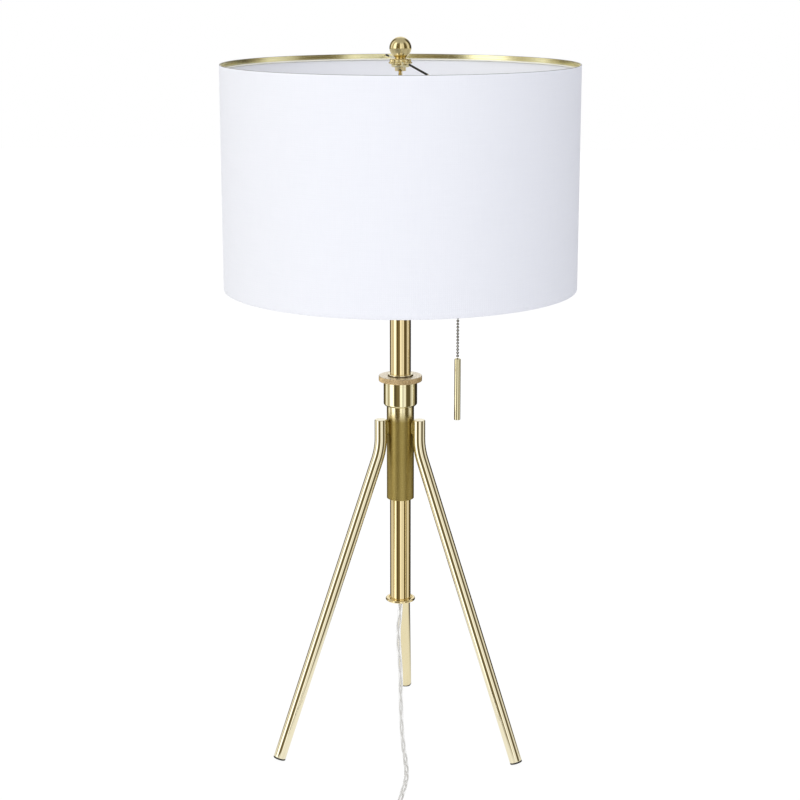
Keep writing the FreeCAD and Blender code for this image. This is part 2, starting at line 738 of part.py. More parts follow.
def chain_arm():
    """Bent brass tube from the switch out and down to a belled mouth, bored where beads run."""
    start_x = HOUSING_R - BOSS_SOCKET
    bend_x = CHAIN_X - ARM_BEND_R
    bend_low = ARM_Z - ARM_BEND_R
    begin, bend_start, bend_end = V(start_x, 0, ARM_Z), V(bend_x, 0, ARM_Z), V(CHAIN_X, 0, bend_low)
    level = Part.LineSegment(begin, bend_start).toShape()
    turn = Part.Arc(bend_start, arc_middle(bend_start, V(1, 0, 0), bend_end), bend_end).toShape()
    tube, _, _ = swept([level, turn], ARM_TUBE_R, TUBE_SIDES)
    drop = placed(faceted([
        (ARM_BORE_R, MOUTH_Z + MOUTH_TALL),
        (MOUTH_R - MOUTH_WALL, MOUTH_Z),
        (MOUTH_R, MOUTH_Z),
        (MOUTH_R, MOUTH_Z + MOUTH_WALL),
        (ARM_TUBE_R, MOUTH_Z + MOUTH_TALL),
        (ARM_TUBE_R, bend_low),
        (0, bend_low),
        (0, bend_low - 0.2),
        (ARM_BORE_R, bend_low - 0.2),
    ], TUBE_SIDES), V(CHAIN_X, 0, 0))
    return tube.fuse(drop)


CHAIN_TOP_Z = MOUTH_Z + (BEAD_COUNT_INSIDE - 0.5) * BEAD_PITCH
CHAIN_END_Z = CHAIN_TOP_Z - (BEAD_COUNT - 0.5) * BEAD_PITCH


def beads(first, last):
    """Stretch of ball chain from bead number first to last: flat-sided beads on thin links."""
    top = CHAIN_TOP_Z - first * BEAD_PITCH
    half = BEAD_R * 0.45
    sections = []
    for i in range(last - first):
        z = top - i * BEAD_PITCH
        sections += [(LINK_R, z + BEAD_R), (BEAD_R, z + half), (BEAD_R, z - half), (LINK_R, z - BEAD_R)]
    sections.append((LINK_R, top - (last - first - 0.5) * BEAD_PITCH))
    turns = [2 * math.pi * i / BEAD_SIDES for i in range(BEAD_SIDES + 1)]
    loops = [[V(CHAIN_X + r * math.cos(a), r * math.sin(a), z) for a in turns] for r, z in sections]
    faces = [Part.Face(Part.makePolygon(loops[0])), Part.Face(Part.makePolygon(loops[-1]))]
    for above, below in zip(loops, loops[1:]):
        for i in range(BEAD_SIDES):
            flat = [above[i], above[i + 1], below[i + 1], below[i], above[i]]
            faces.append(Part.Face(Part.makePolygon(flat)))
    return Part.makeSolid(Part.Shell(faces))


def pendant():
    """Slim turned pull with a stepped neck, pointed so that it can swing under the last link."""
    top = CHAIN_END_Z - PENDANT_GAP
    bottom = top - PENDANT_LONG
    neck_low = top - PENDANT_NECK_TALL
    return placed(turned([
        (0, bottom),
        (PENDANT_R - PENDANT_EDGE, bottom),
        (PENDANT_R, bottom + PENDANT_EDGE),
        (PENDANT_R, neck_low - PENDANT_EDGE),
        (PENDANT_NECK_R, neck_low),
        (PENDANT_NECK_R, top - PENDANT_POINT),
        (LINK_R, top),
        (0, top),
    ]), V(CHAIN_X, 0, 0))


# --- Bulb ------------------------------------------------------------------------------

def bulb_base():
    """Screw base with its insulated tip."""
    low = BULB_Z + BULB_TIP_TALL
    return faceted([
        (0, BULB_Z),
        (BULB_TIP_R - BULB_EDGE, BULB_Z),
        (BULB_TIP_R, BULB_Z + BULB_EDGE),
        (BULB_BASE_R - BULB_EDGE, low),
        (BULB_BASE_R, low + BULB_EDGE),
        (BULB_BASE_R, low + BULB_BASE_TALL),
        (0, low + BULB_BASE_TALL),
    ], ROUND_SIDES)


def bulb_glass():
    """Thin pear-shaped envelope standing on the base's rim."""
    low = BULB_Z + BULB_TIP_TALL + BULB_BASE_TALL
    top = low + BULB_TALL
    centre_z = top - BULB_R
    join, middle = math.radians(BULB_JOIN), math.radians((90 - BULB_JOIN) / 2)

    def globe(radius, angle):
        return radius * math.cos(angle), centre_z + radius * math.sin(angle)

    inner_r = BULB_R - GLASS_WALL
    neck_r = BULB_NECK_R - GLASS_WALL
    flare_z = low + BULB_FLARE_RISE
    return faceted([
        (neck_r, low),
        (BULB_NECK_R, low),
        (BULB_NECK_R, low + BULB_NECK_TALL),
        (*globe(BULB_R, -join), BULB_FLARE_R, flare_z),
        (0, top, *globe(BULB_R, middle)),
        (0, top - GLASS_WALL),
        (*globe(inner_r, -join), *globe(inner_r, middle)),
        (neck_r, low + BULB_NECK_TALL, BULB_FLARE_R - GLASS_WALL, flare_z),
    ], ROUND_SIDES, 2 * ARC_CHORDS)


# --- Shade -----------------------------------------------------------------------------

def shade_drum():
    return ring(SHADE_R - SHADE_WALL, SHADE_R, SHADE_BOTTOM_Z, SHADE_TOP_Z)


def top_band():
    """Polished band inside the shade's upper rim."""
    outer = SHADE_R - SHADE_WALL
    return ring(outer - BAND_WALL, outer, SHADE_TOP_Z - BAND_TALL, SHADE_TOP_Z)


def bottom_ring():
    """Wire ring inside the lower hem."""
    flat_r = BOTTOM_WIRE_R * math.cos(math.pi / WIRE_SIDES)
    return wire_ring(SHADE_R - SHADE_WALL - flat_r, SHADE_BOTTOM_Z + BOTTOM_WIRE_R + HEM_RISE, BOTTOM_WIRE_R)


def spider():
    """Upper ring wire, the arms across it and the hub washer that drops over the stud."""
    ring_r = SHADE_R - SHADE_WALL - BAND_WALL - RING_WIRE_R * math.cos(math.pi / WIRE_SIDES)
    wire_z = SHADE_TOP_Z - RING_DROP
    frame = wire_ring(ring_r, wire_z, RING_WIRE_R)
    arm_z = HUB_Z + HUB_THICK / 2
    rise = wire_z - arm_z
    for i in range(ARMS):
        a = math.radians(ARM_ANGLE + 360 / ARMS * i)
        out = V(math.cos(a), math.sin(a), 0)
        start = out * (HUB_R - 2.5) + V(0, 0, arm_z)
        along = out * (ring_r - HUB_R + 2.5) + V(0, 0, rise)
        frame = frame.fuse(Part.makeCylinder(ARM_WIRE_R, along.Length, start, along))
    hub_high = HUB_Z + HUB_THICK
    hub = faceted([(0, HUB_Z), (HUB_R, HUB_Z), (HUB_R, hub_high), (0, hub_high)], FINE_SIDES)
    hole = Part.makeCylinder(STUD_R + 2 * RUNNING, 3 * HUB_THICK, V(0, 0, HUB_Z - HUB_THICK))
    return frame.fuse(hub.cut(hole))


# --- Finial ----------------------------------------------------------------------------

def finial():
    """Ball on a short neck over a cupped skirt, bored for the stud."""
    low = HUB_Z + HUB_THICK + FINIAL_GAP
    rim_top = low + FINIAL_RIM_TALL
    cup_top = rim_top + FINIAL_CUP_TALL
    neck_top = cup_top + FINIAL_NECK_TALL
    sink = FINIAL_BALL_R - math.sqrt(FINIAL_BALL_R ** 2 - FINIAL_NECK_R ** 2)
    centre = neck_top - sink + FINIAL_BALL_R
    bore_tall = HUB_Z - FREE + STUD_TALL + FINIAL_BORE_OVER - low
    lower = faceted([
        (0, low),
        (FINIAL_RIM_R - FINIAL_EDGE, low),
        (FINIAL_RIM_R - FINIAL_EDGE, rim_top, FINIAL_RIM_R, (low + rim_top) / 2),
        (FINIAL_CUP_R, rim_top),
        (FINIAL_NECK_R, cup_top, FINIAL_CUP_R - 1.0, cup_top - 0.7),
        (FINIAL_NECK_R, neck_top),
        (0, neck_top),
    ], FINE_SIDES)
    ball = faceted([
        (0, neck_top),
        (FINIAL_NECK_R, neck_top),
        (0, centre + FINIAL_BALL_R, FINIAL_BALL_R, centre),
    ], FINE_SIDES, BALL_CHORDS)
    return lower.fuse(ball).cut(Part.makeCylinder(STUD_R + RUNNING, bore_tall, V(0, 0, low)))


# --- Wires, cord and plug --------------------------------------------------------------

def lead_wires():
    """Two insulated leads from the switch down through the nipple."""
    top = SOCKET_Z + CAP_HUB_TALL + WIRE_SOCKET
    return Part.Compound([Part.makeCylinder(WIRE_R, top - WIRE_LOW_Z, V(s * WIRE_SPREAD, 0, WIRE_LOW_Z))
                          for s in (-1, 1)])


# From the bushing down and forward along the floor to the coil, which lies in front.
LEAD = [
    V(0, 0, CORD_EXIT_Z),
    V(0, 0, 138),
    V(-2.6, 0.4, 118),
    V(-1.4, -1.2, 95),
    V(0.4, -3.0, 72),
    V(0.8, -9.5, 48),
    V(2.0, -25, 25),
    V(5.0, -50, 9),
    V(9.5, -82, CORD_R),
    V(11.5, -118, CORD_R),
    V(8.0, -153, CORD_R),
    V(5.0, -188, CORD_R),
    V(COIL_X + COIL_R_OUT, COIL_Y + TUBE_END, CORD_R),
]
TAIL_RUNS = [(24.0, 0.0, 0.0), (19.0, -14.0, -0.9), (14.0, -24.0, -0.1)]   # length, turn in degrees, rise


def cord_inner():
    """Cord inside the pole, long enough for the pole to rise over it."""
    return ring(0, CORD_R, CORD_EXIT_Z, CORD_INNER_TOP_Z)


def cord_lead():
    edges, radii = rounded_route(LEAD)
    tube, length, share = swept(edges, CORD_R, CORD_SIDES)
    print("lead radii", [round(r) for r in radii], "length", round(length, 1), "volume share", round(share, 4))
    return tube, length


def coil_point(turn):
    """Point on the coil's centreline after so many turns from its start, going clockwise.
    It spirals in and out at one rate, and climbs a layer in the half turn about the middle."""
    middle = COIL_TURNS / 2
    r = COIL_R_OUT - COIL_PITCH * (middle - abs(turn - middle))
    share = max(0, min(1, (turn - middle + 0.25) / 0.5))
    z = CORD_R + COIL_LIFT * (1 - math.cos(math.pi * share)) / 2
    a = -2 * math.pi * turn
    return V(COIL_X + r * math.cos(a), COIL_Y + r * math.sin(a), z)


def coil_heading(turn):
    """Direction along the coil at that turn; level except in the climb."""
    if turn <= 0:
        return V(0, -1, 0)
    step = 1e-4
    ahead = coil_point(min(turn + step, COIL_TURNS)) - coil_point(turn - step)
    return ahead.normalize()


def biarc(start, start_heading, end, end_heading):
    """Two tangent arcs between two points with given headings."""
    chord = end - start
    both = start_heading + end_heading
    spread = 2 * (1 - start_heading.dot(end_heading))
    reach = chord.dot(both)
    d = (math.sqrt(reach ** 2 + spread * chord.dot(chord)) - reach) / spread
    join = (start + end + (start_heading - end_heading) * d) * 0.5
    first = Part.Arc(start, arc_middle(start, start_heading, join), join)
    back = arc_middle(end, -end_heading, join)
    second = Part.Arc(join, back, end)
    return [first.toShape(), second.toShape()]


def coil_edges():
    """Coil's centreline: a straight end, biarcs of a quarter turn and a straight end."""
    count = 2 * round(2 * COIL_TURNS)
    stops = [COIL_TURNS * i / count for i in range(count + 1)]
    begin = coil_point(0)
    edges = [Part.LineSegment(begin + V(0, TUBE_END, 0), begin).toShape()]
    for a, b in zip(stops, stops[1:]):
        edges += biarc(coil_point(a), coil_heading(a), coil_point(b), coil_heading(b))
    leave = coil_point(COIL_TURNS) + coil_heading(COIL_TURNS) * TUBE_END
    edges.append(Part.LineSegment(coil_point(COIL_TURNS), leave).toShape())
    return edges, leave, coil_heading(COIL_TURNS)


def least_gap(edges):
    """Smallest free space between stretches of the coil that are over half a turn apart."""
    points, along, travelled = [], [], 0.0
    for edge in edges:
        for i in range(6):
            share = (i + 0.5) / 6
            points.append(edge.valueAt(edge.FirstParameter + share * (edge.LastParameter - edge.FirstParameter)))
            along.append(travelled + share * edge.Length)
        travelled += edge.Length
    apart = math.pi * (COIL_R_OUT - COIL_PITCH * COIL_TURNS / 2)
    best = min((points[i] - points[j]).Length
               for i in range(len(points)) for j in range(i) if along[i] - along[j] > apart)
    return best - 2 * CORD_R


def cord_coil():
    edges, leave, heading = coil_edges()
    gap = least_gap(edges)
    tube, length, share = swept(edges, CORD_R, CORD_SIDES)
    print("coil length", round(length, 1), "least gap", round(gap, 3), "volume share", round(share, 4))
    return tube, leave, heading, length


def cord_tail(start, heading):
    """Short stretch from the coil to the plug, and where it ends."""
    points = [start]
    for long, turn, rise in TAIL_RUNS:
        a = math.atan2(heading.y, heading.x) + math.radians(turn)
        heading = V(math.cos(a), math.sin(a), 0)
        points.append(points[-1] + heading * long + V(0, 0, rise))
    points[-1].z = points[-2].z
    edges, radii = rounded_route(points)
    tube, length, share = swept(edges, CORD_R, CORD_SIDES)
    print("tail radii", [round(r) for r in radii], "length", round(length, 1), "volume share", round(share, 4))
    return tube, points[-1], heading, length


def plug():
    """Two-blade plug lying flat, modelled along +X from the cord's end."""
    start = RELIEF_LONG
    body = Part.makeBox(PLUG_LONG, PLUG_WIDE, PLUG_THICK, V(start, -PLUG_WIDE / 2, -PLUG_THICK / 2))
    rear = [e for e in body.Edges if abs(e.CenterOfMass.x - start) < 1e-6 and abs(e.Length - PLUG_THICK) < 1e-6]
    body = body.makeFillet(6.0, rear)
    root_end = RELIEF_LONG + PLUG_LONG / 2
    relief = faceted([(0, 0), (RELIEF_TIP_R, 0), (RELIEF_R, RELIEF_LONG), (RELIEF_R, root_end), (0, root_end)], ROUND_SIDES)
    relief.rotate(V(0, 0, 0), V(0, 1, 0), 90)
    body = body.fuse(relief)
    face_x = start + PLUG_LONG
    blades = []
    for side in (-1, 1):
        blade = Part.makeBox(BLADE_LONG + BLADE_SUNK, BLADE_THICK, BLADE_WIDE,
                             V(face_x - BLADE_SUNK, side * BLADE_SPACING / 2 - BLADE_THICK / 2, -BLADE_WIDE / 2))
        hole = Part.makeCylinder(1.6, 4 * BLADE_THICK,
                                 V(face_x + BLADE_LONG - 4, side * BLADE_SPACING / 2 - 2 * BLADE_THICK, 0), V(0, 1, 0))
        tip = [e for e in blade.Edges if abs(e.CenterOfMass.x - face_x - BLADE_LONG) < 1e-6
               and abs(e.Length - BLADE_THICK) < 1e-6]
        blades.append(blade.makeChamfer(1.2, tip).cut(hole))
    return body.cut(blades), Part.Compound(blades)


# --- Build -----------------------------------------------------------------------------

save("pole_tube", pole_tube())
save("end_stop", end_stop())
save("cord_bushing", cord_bushing())
save("sleeve_tube", sleeve_tube())
save("guide_bush", guide_bush())
save("clamp_collar", clamp_collar())
save("collet", collet())
save("lock_nut", lock_nut())

LEG_NAMES = ["rear", "left", "right"]
one_leg, one_cap = leg(), foot_cap()
for i in range(LEG_COUNT):
    turn = LEG_FIRST_ANGLE + 360 / LEG_COUNT * i
    save("leg_" + LEG_NAMES[i], placed(one_leg, V(0, 0, 0), turn))
    save("foot_cap_" + LEG_NAMES[i], placed(one_cap, V(0, 0, 0), turn))

save("pole_plug", pole_plug())
save("nipple", nipple())
save("harp_saddle", harp_saddle())
save("jam_nut", jam_nut())
save("harp_wire", harp_wire())
save("harp_stud", harp_stud())
save("ferrule_front", ferrule(-1))
save("ferrule_rear", ferrule(1))

save("socket_cap", socket_cap())
save("socket_shell", socket_shell())
save("socket_liner", socket_liner())
save("switch_housing", switch_housing())
save("screw_shell", screw_shell())
save("contact", contact())
save("chain_arm", chain_arm())
save("chain_upper", beads(0, BEAD_COUNT_INSIDE))
save("chain_lower", beads(BEAD_COUNT_INSIDE, BEAD_COUNT))
save("pendant", pendant())
save("bulb_base", bulb_base())
save("bulb_glass", bulb_glass())
save("lead_wires", lead_wires())

save("shade_drum", shade_drum())
save("top_band", top_band())
save("bottom_ring", bottom_ring())
save("spider", spider())
save("finial", finial())

save("cord_inner", cord_inner())
lead, lead_length = cord_lead()
save("cord_lead", lead)
coil, coil_end, coil_way, coil_length = cord_coil()
save("cord_coil", coil)
tail, tail_end, tail_way, tail_length = cord_tail(coil_end, coil_way)
save("cord_tail", tail)
print("cord length", round(lead_length + coil_length + tail_length, 1))
plug_body, plug_blades = plug()
plug_angle = math.degrees(math.atan2(tail_way.y, tail_way.x))
save("plug_body", placed(plug_body, tail_end, plug_angle))
save("plug_blades", placed(plug_blades, tail_end, plug_angle))
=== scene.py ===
import bmesh
import bpy
import math
import numpy as np
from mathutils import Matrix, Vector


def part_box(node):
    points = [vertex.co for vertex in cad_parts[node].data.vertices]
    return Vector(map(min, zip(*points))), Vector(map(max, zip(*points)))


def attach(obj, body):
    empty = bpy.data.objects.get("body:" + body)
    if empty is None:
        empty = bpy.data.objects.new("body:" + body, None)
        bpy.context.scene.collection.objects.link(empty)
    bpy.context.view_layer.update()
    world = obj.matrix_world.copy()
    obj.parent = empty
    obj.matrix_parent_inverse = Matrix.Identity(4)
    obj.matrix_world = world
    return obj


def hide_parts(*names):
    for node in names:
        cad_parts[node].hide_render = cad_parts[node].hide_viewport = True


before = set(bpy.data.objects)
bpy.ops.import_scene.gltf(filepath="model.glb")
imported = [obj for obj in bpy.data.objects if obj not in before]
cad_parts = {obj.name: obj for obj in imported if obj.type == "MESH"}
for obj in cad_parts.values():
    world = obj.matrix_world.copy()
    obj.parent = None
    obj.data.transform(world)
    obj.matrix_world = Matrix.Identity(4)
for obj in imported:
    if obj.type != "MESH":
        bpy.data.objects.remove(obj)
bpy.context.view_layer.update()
scene = bpy.context.scene
mm = 0.001

view = {
    "place": (0.0806, -1.8863, 0.8186),
    "pitchDown": 13.426,     # degrees below level
    "heading": 2.459,        # degrees to the left of +Y
    "lens": 85.23,
    "sensor": 36.0,
    "sees": (0.05, 60),      # from and to, in metres
}


def makeCamera():
    data = bpy.data.cameras.new("camera")
    data.lens, data.sensor_width = view["lens"], view["sensor"]
    data.clip_start, data.clip_end = view["sees"]
    camera = bpy.data.objects.new("camera", data)
    camera.location = view["place"]
    camera.rotation_euler = (math.radians(90 - view["pitchDown"]), 0, math.radians(view["heading"]))
    scene.collection.objects.link(camera)
    scene.camera = camera


studio = {
    "facing": -87.5,         # degrees, from +X round to where the lamp's front looks
    # azimuth from the front in degrees, to the right, and how bright the room is there to metal
    "room": [(-180, 0.02), (-150, 0.08), (-132, 0.12), (-124, 0.48), (-116, 0.60), (-111, 1.3), (-103, 0.88),
             (-92, 0.50), (-82, 0.50), (-77, 1.0), (-74, 1.75), (-52, 1.75), (-47, 1.1), (-43, 0.16),
             (-34, 0.10), (-22, 0.20), (-8, 0.20), (-4, 0.50), (0, 1.3), (8, 1.35), (12, 0.80), (24, 0.76),
             (30, 1.15), (35, 1.1), (40, 0.24), (48, 0.12), (70, 0.12), (76, 0.60), (84, 0.75), (98, 1.0),
             (108, 0.40), (122, 0.03)],
    "darkTint": (1.0, 0.81, 0.42),   # colour of the room's unlit parts
    "tintFades": (0.25, 0.75),       # levels between which that colour gives way to white
    "backdrop": 1.0,                 # behind the lamp and above the table
    "backdropFrom": (0.41, 0.05),    # share of a turn from the front, and over how much it comes in
    "horizonOver": 1 / 12,
    "ceiling": 0.5,
    "ceilingFrom": (0.65, 0.2),      # upward part of the direction, and over how much it comes in
    # what matt surfaces gather from the same directions, and its colour to the left and to the right
    "soft": [(-180, 0.56), (-150, 0.50), (-100, 0.71), (-60, 1.10), (-25, 1.19), (10, 1.14), (45, 0.74),
             (80, 0.44), (110, 0.37), (145, 0.44)],
    "softTint": ((0.980, 0.990, 1.015), (0.955, 0.985, 1.12)),
    "fromAbove": 0.45,
    "brightest": 4.0,                # a ramp's colours stop at 1, so its levels are shares of this
    "floorSize": 12.0,
    "floorDrop": 0.0003,
    "floorGrey": 0.82,
    "mirrorReach": (0.12, 0.32),     # metres from the lamp over which metal stops seeing the floor
    "floorWhite": 1.06,
    "floorInMetal": 0.98,
    "floorShare": 0.90,              # how much of the floor's look is plain white; the rest takes shadow
}


def feed(socket, value):
    # A socket takes another's output, a colour or a number. A socket's id_data is its tree.
    if hasattr(value, "is_output"):
        socket.id_data.links.new(value, socket)
    elif hasattr(value, "__len__"):
        socket.default_value = (*value, 1)
    else:
        socket.default_value = value


def maths(operation, a, b=None, clamp=False):
    tree = (a if hasattr(a, "is_output") else b).id_data
    made = tree.nodes.new("ShaderNodeMath")
    made.operation, made.use_clamp = operation, clamp
    for socket, value in zip(made.inputs, (a, b)):
        if value is not None:
            feed(socket, value)
    return made.outputs[0]


def add(a, b, clamp=False):
    return maths("ADD", a, b, clamp)


def less(a, b):
    return maths("SUBTRACT", a, b)


def times(a, b, clamp=False):
    return maths("MULTIPLY", a, b, clamp)


def climb(value, start, over):
    # 0 up to the start, then evenly up to 1.
    return maths("DIVIDE", less(value, start), over, clamp=True)


def between(share, low, high):
    # low where share is 0, high where it is 1.
    return add(times(share, high - low), low)


def splitPlace(tree, output="Object"):
    # x, y and z of Object coordinates, or of the world's direction.
    where = tree.nodes.new("ShaderNodeTexCoord")
    split = tree.nodes.new("ShaderNodeSeparateXYZ")
    feed(split.inputs[0], where.outputs[output])
    return split.outputs


def turnShare(ahead, aside):
    # Share of a full turn, 0.5 straight ahead.
    return add(times(maths("ARCTAN2", aside, ahead), 0.5 / math.pi), 0.5)


def ramp(share, stops):
    # Colour ramp over the share, with a colour at each (degrees from ahead, colour).
    made = share.id_data.nodes.new("ShaderNodeValToRGB")
    feed(made.inputs[0], share)
    row = made.color_ramp.elements
    while len(row) < len(stops):
        row.new(0.5)
    for element, (degrees, colour) in zip(row, stops):
        element.position, element.color = 0.5 + degrees / 360, (*colour, 1)
    return made.outputs[0]


def blendColours(share, first, second):
    made = share.id_data.nodes.new("ShaderNodeMix")
    made.data_type = "RGBA"
    for value, index in ((share, 0), (first, 6), (second, 7)):
        feed(made.inputs[index], value)
    return made.outputs[2]


def blendShaders(share, first, second):
    made = share.id_data.nodes.new("ShaderNodeMixShader")
    for socket, value in zip(made.inputs, (share, first, second)):
        feed(socket, value)
    return made.outputs[0]


def lightOf(tree, kind, colour, strength=None):
    made = tree.nodes.new(kind)
    feed(made.inputs[0], colour)
    if strength is not None:
        feed(made.inputs[1], strength)
    return made.outputs[0]


def rayIs(tree, *kinds):
    # 1 for rays of any of these kinds.
    path = tree.nodes.new("ShaderNodeLightPath")
    total = path.outputs[kinds[0]]
    for kind in kinds[1:]:
        total = maths("MAXIMUM", total, path.outputs[kind])
    return total


def makeWorld():
    # Metal sees tall soft lights and dark screens round the lamp, matt surfaces a softer light from the
    # same directions, and the camera plain white.
    world = bpy.data.worlds.new("studio")
    scene.world = world
    world.use_nodes = True
    tree = world.node_tree
    tree.nodes.clear()
    x, y, up = splitPlace(tree, "Generated")
    turn = math.radians(studio["facing"])
    ahead = add(times(x, math.cos(turn)), times(y, math.sin(turn)))
    aside = less(times(y, math.cos(turn)), times(x, math.sin(turn)))
    share = turnShare(ahead, aside)
    most = studio["brightest"]
    stops = []
    tinted, white = studio["tintFades"]
    for azimuth, level in studio["room"]:
        lit = min(1, max(0, (level - tinted) / (white - tinted)))
        stops.append((azimuth, [level / most * (c + (1 - c) * lit) for c in studio["darkTint"]]))
    around = ramp(share, stops)
    behind = climb(maths("ABSOLUTE", less(share, 0.5)), *studio["backdropFrom"])
    behind = times(behind, climb(up, 0.0, studio["horizonOver"]))
    around = blendColours(behind, around, [studio["backdrop"] / most] * 3)
    above = climb(up, *studio["ceilingFrom"])
    around = blendColours(above, around, [studio["ceiling"] / most] * 3)
    stops = []
    for azimuth, level in studio["soft"]:
        right = min(1, max(0, (azimuth + 60) / 120))
        stops.append((azimuth, [level / most * (a + (b - a) * right) for a, b in zip(*studio["softTint"])]))
    more = add(times(maths("MAXIMUM", up, 0.0), studio["fromAbove"]), 1.0)
    room = lightOf(tree, "ShaderNodeBackground", around, most)
    soft = lightOf(tree, "ShaderNodeBackground", ramp(share, stops), times(more, most))
    lit = blendShaders(rayIs(tree, "Is Diffuse Ray"), room, soft)
    plain = lightOf(tree, "ShaderNodeBackground", (1, 1, 1), 1.0)
    out = tree.nodes.new("ShaderNodeOutputWorld")
    direct = rayIs(tree, "Is Camera Ray", "Is Transmission Ray")
    feed(out.inputs[0], blendShaders(direct, lit, plain))


def makeFloor():
    half, drop = studio["floorSize"] / 2, studio["floorDrop"]
    mesh = bpy.data.meshes.new("floor")
    corners = [(-half, -half, -drop), (half, -half, -drop), (half, half, -drop), (-half, half, -drop)]
    mesh.from_pydata(corners, [], [(0, 1, 2, 3)])
    floor = bpy.data.objects.new("floor", mesh)
    scene.collection.objects.link(floor)
    made = bpy.data.materials.new("floorWhite")
    made.use_nodes = True
    tree = made.node_tree
    tree.nodes.clear()
    matt = lightOf(tree, "ShaderNodeBsdfDiffuse", [studio["floorGrey"]] * 3)
    glow = between(rayIs(tree, "Is Glossy Ray"), studio["floorWhite"], studio["floorInMetal"])
    direct = rayIs(tree, "Is Camera Ray", "Is Glossy Ray", "Is Transmission Ray")
    lit = blendShaders(times(direct, studio["floorShare"]), matt,
                       lightOf(tree, "ShaderNodeEmission", (1, 1, 1), glow))
    # far from the lamp, metal sees past the floor into the room
    where = tree.nodes.new("ShaderNodeTexCoord")
    length = tree.nodes.new("ShaderNodeVectorMath")
    length.operation = "LENGTH"
    feed(length.inputs[0], where.outputs["Object"])
    near, far = studio["mirrorReach"]
    away = climb(length.outputs["Value"], near, far - near)
    clear = tree.nodes.new("ShaderNodeBsdfTransparent").outputs[0]
    out = tree.nodes.new("ShaderNodeOutputMaterial")
    past = times(away, rayIs(tree, "Is Glossy Ray"))
    feed(out.inputs[0], blendShaders(past, lit, clear))
    mesh.materials.append(made)


makeCamera()
makeWorld()
makeFloor()
scene.view_settings.view_transform = "Standard"
print("camera and studio ready")


def finishMesh(name, points, faces, uv, body, slot, look, *stands):
    # A mesh from points and quads; faces turn outwards by the sign of the volume they close.
    mesh = bpy.data.meshes.new(name)
    points, faces = np.asarray(points, float), np.asarray(faces, int)
    a, b, c, d = (points[faces[:, i]] for i in range(4))
    volume = np.einsum("ij,ij->i", a, np.cross(b, c)).sum() + np.einsum("ij,ij->i", a, np.cross(c, d)).sum()
    if volume < 0:
        faces = faces[:, ::-1]
        uv = None if uv is None else uv[:, ::-1]
    mesh.vertices.add(len(points))
    mesh.vertices.foreach_set("co", points.astype(np.float32).ravel())
    mesh.loops.add(4 * len(faces))
    mesh.loops.foreach_set("vertex_index", faces.ravel())
    mesh.polygons.add(len(faces))
    mesh.polygons.foreach_set("loop_start", np.arange(0, 4 * len(faces), 4))
    if uv is not None:
        layer = mesh.uv_layers.new(name="wrap")
        layer.data.foreach_set("uv", uv.reshape(-1, 2).astype(np.float32).ravel())
    mesh.update(calc_edges=True)
    mesh.validate()
    mesh.shade_smooth()
    mesh.materials.append(looks[look])
    piece = bpy.data.objects.new(name, mesh)
    scene.collection.objects.link(piece)
    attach(piece, body)
    if stands:
        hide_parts(*stands)
    return piece


def closeEnds(piece):
    # Merges the points where a row of the grid shrinks to one place.
    made = bmesh.new()
    made.from_mesh(piece.data)
    bmesh.ops.remove_doubles(made, verts=made.verts, dist=1e-7)
    bmesh.ops.dissolve_degenerate(made, dist=1e-8, edges=made.edges)
    made.to_mesh(piece.data)
    made.free()
    return piece


def fullTurn(sides):
    return np.linspace(0, 2 * np.pi, sides, endpoint=False)


def gridFaces(rows, columns, loopRows):
    # Quads of a grid whose columns close round, and whose rows close too if loopRows.
    i = np.arange(rows if loopRows else rows - 1)[:, None]
    j = np.arange(columns)[None, :]
    up, on = (i + 1) % rows, (j + 1) % columns
    faces = np.stack([i * columns + j, i * columns + on, up * columns + on, up * columns + j], -1)
    return faces.reshape(-1, 4)


def gridWrap(around, along, columns, loopRows, last=0.0):
    # UV corners of the same quads, in metres: around the piece and along its outline.
    count = len(along) if loopRows else len(along) - 1
    low = np.asarray(along, float)
    high = np.append(low[1:], low[-1] + last)[:count]
    u0 = np.arange(columns) * around / columns
    corners = np.empty((count, columns, 4, 2))
    corners[..., 0, 0] = corners[..., 3, 0] = u0
    corners[..., 1, 0] = corners[..., 2, 0] = u0 + around / columns
    corners[..., 0, 1] = corners[..., 1, 1] = low[:count, None]
    corners[..., 2, 1] = corners[..., 3, 1] = high[:, None]
    return corners.reshape(-1, 4, 2)


def bow(start, towards, end, count):
    # (1 - t)^2 start + 2 t (1 - t) towards + t^2 end, for t from 0 to 1.
    t = np.linspace(0, 1, count)[:, None]
    return (1 - t) ** 2 * start + 2 * t * (1 - t) * towards + t ** 2 * end


def rounded(corners, steps=4, closed=True):
    # Outline in the (radius, height) plane, in millimetres. A corner (r, z, size) becomes an arc of about
    # that size, with a point just before and after it so that flats stay flat; (r, z) is kept.
    out = []
    for i, corner in enumerate(corners):
        here = np.array(corner[:2], float)
        size = corner[2] if len(corner) > 2 else 0
        if size <= 0 or (not closed and i in (0, len(corners) - 1)):
            out.append(here)
            continue
        come = np.array(corners[i - 1][:2], float) - here
        leave = np.array(corners[(i + 1) % len(corners)][:2], float) - here
        come, leave = come / np.linalg.norm(come), leave / np.linalg.norm(leave)
        out.append(here + come * size * 1.25)
        out.extend(bow(here + come * size, here, here + leave * size, steps + 1))
        out.append(here + leave * size * 1.25)
    return np.array(out)


def wallOf(inner, outer, low, high, *edges):
    # A tube's wall. One size rounds all its edges, or four go round from the lower inner one.
    edges = edges * 4 if len(edges) == 1 else edges
    corners = [(inner, low), (outer, low), (outer, high), (inner, high)]
    return rounded([(*corner, edge) for corner, edge in zip(corners, edges)])


def arcOf(centre, radius, first, last, steps):
    # Points on a circle in the outline's plane, from one angle to another in degrees.
    a = np.radians(np.linspace(first, last, steps + 1))
    return [(centre[0] + radius * math.cos(t), centre[1] + radius * math.sin(t)) for t in a]


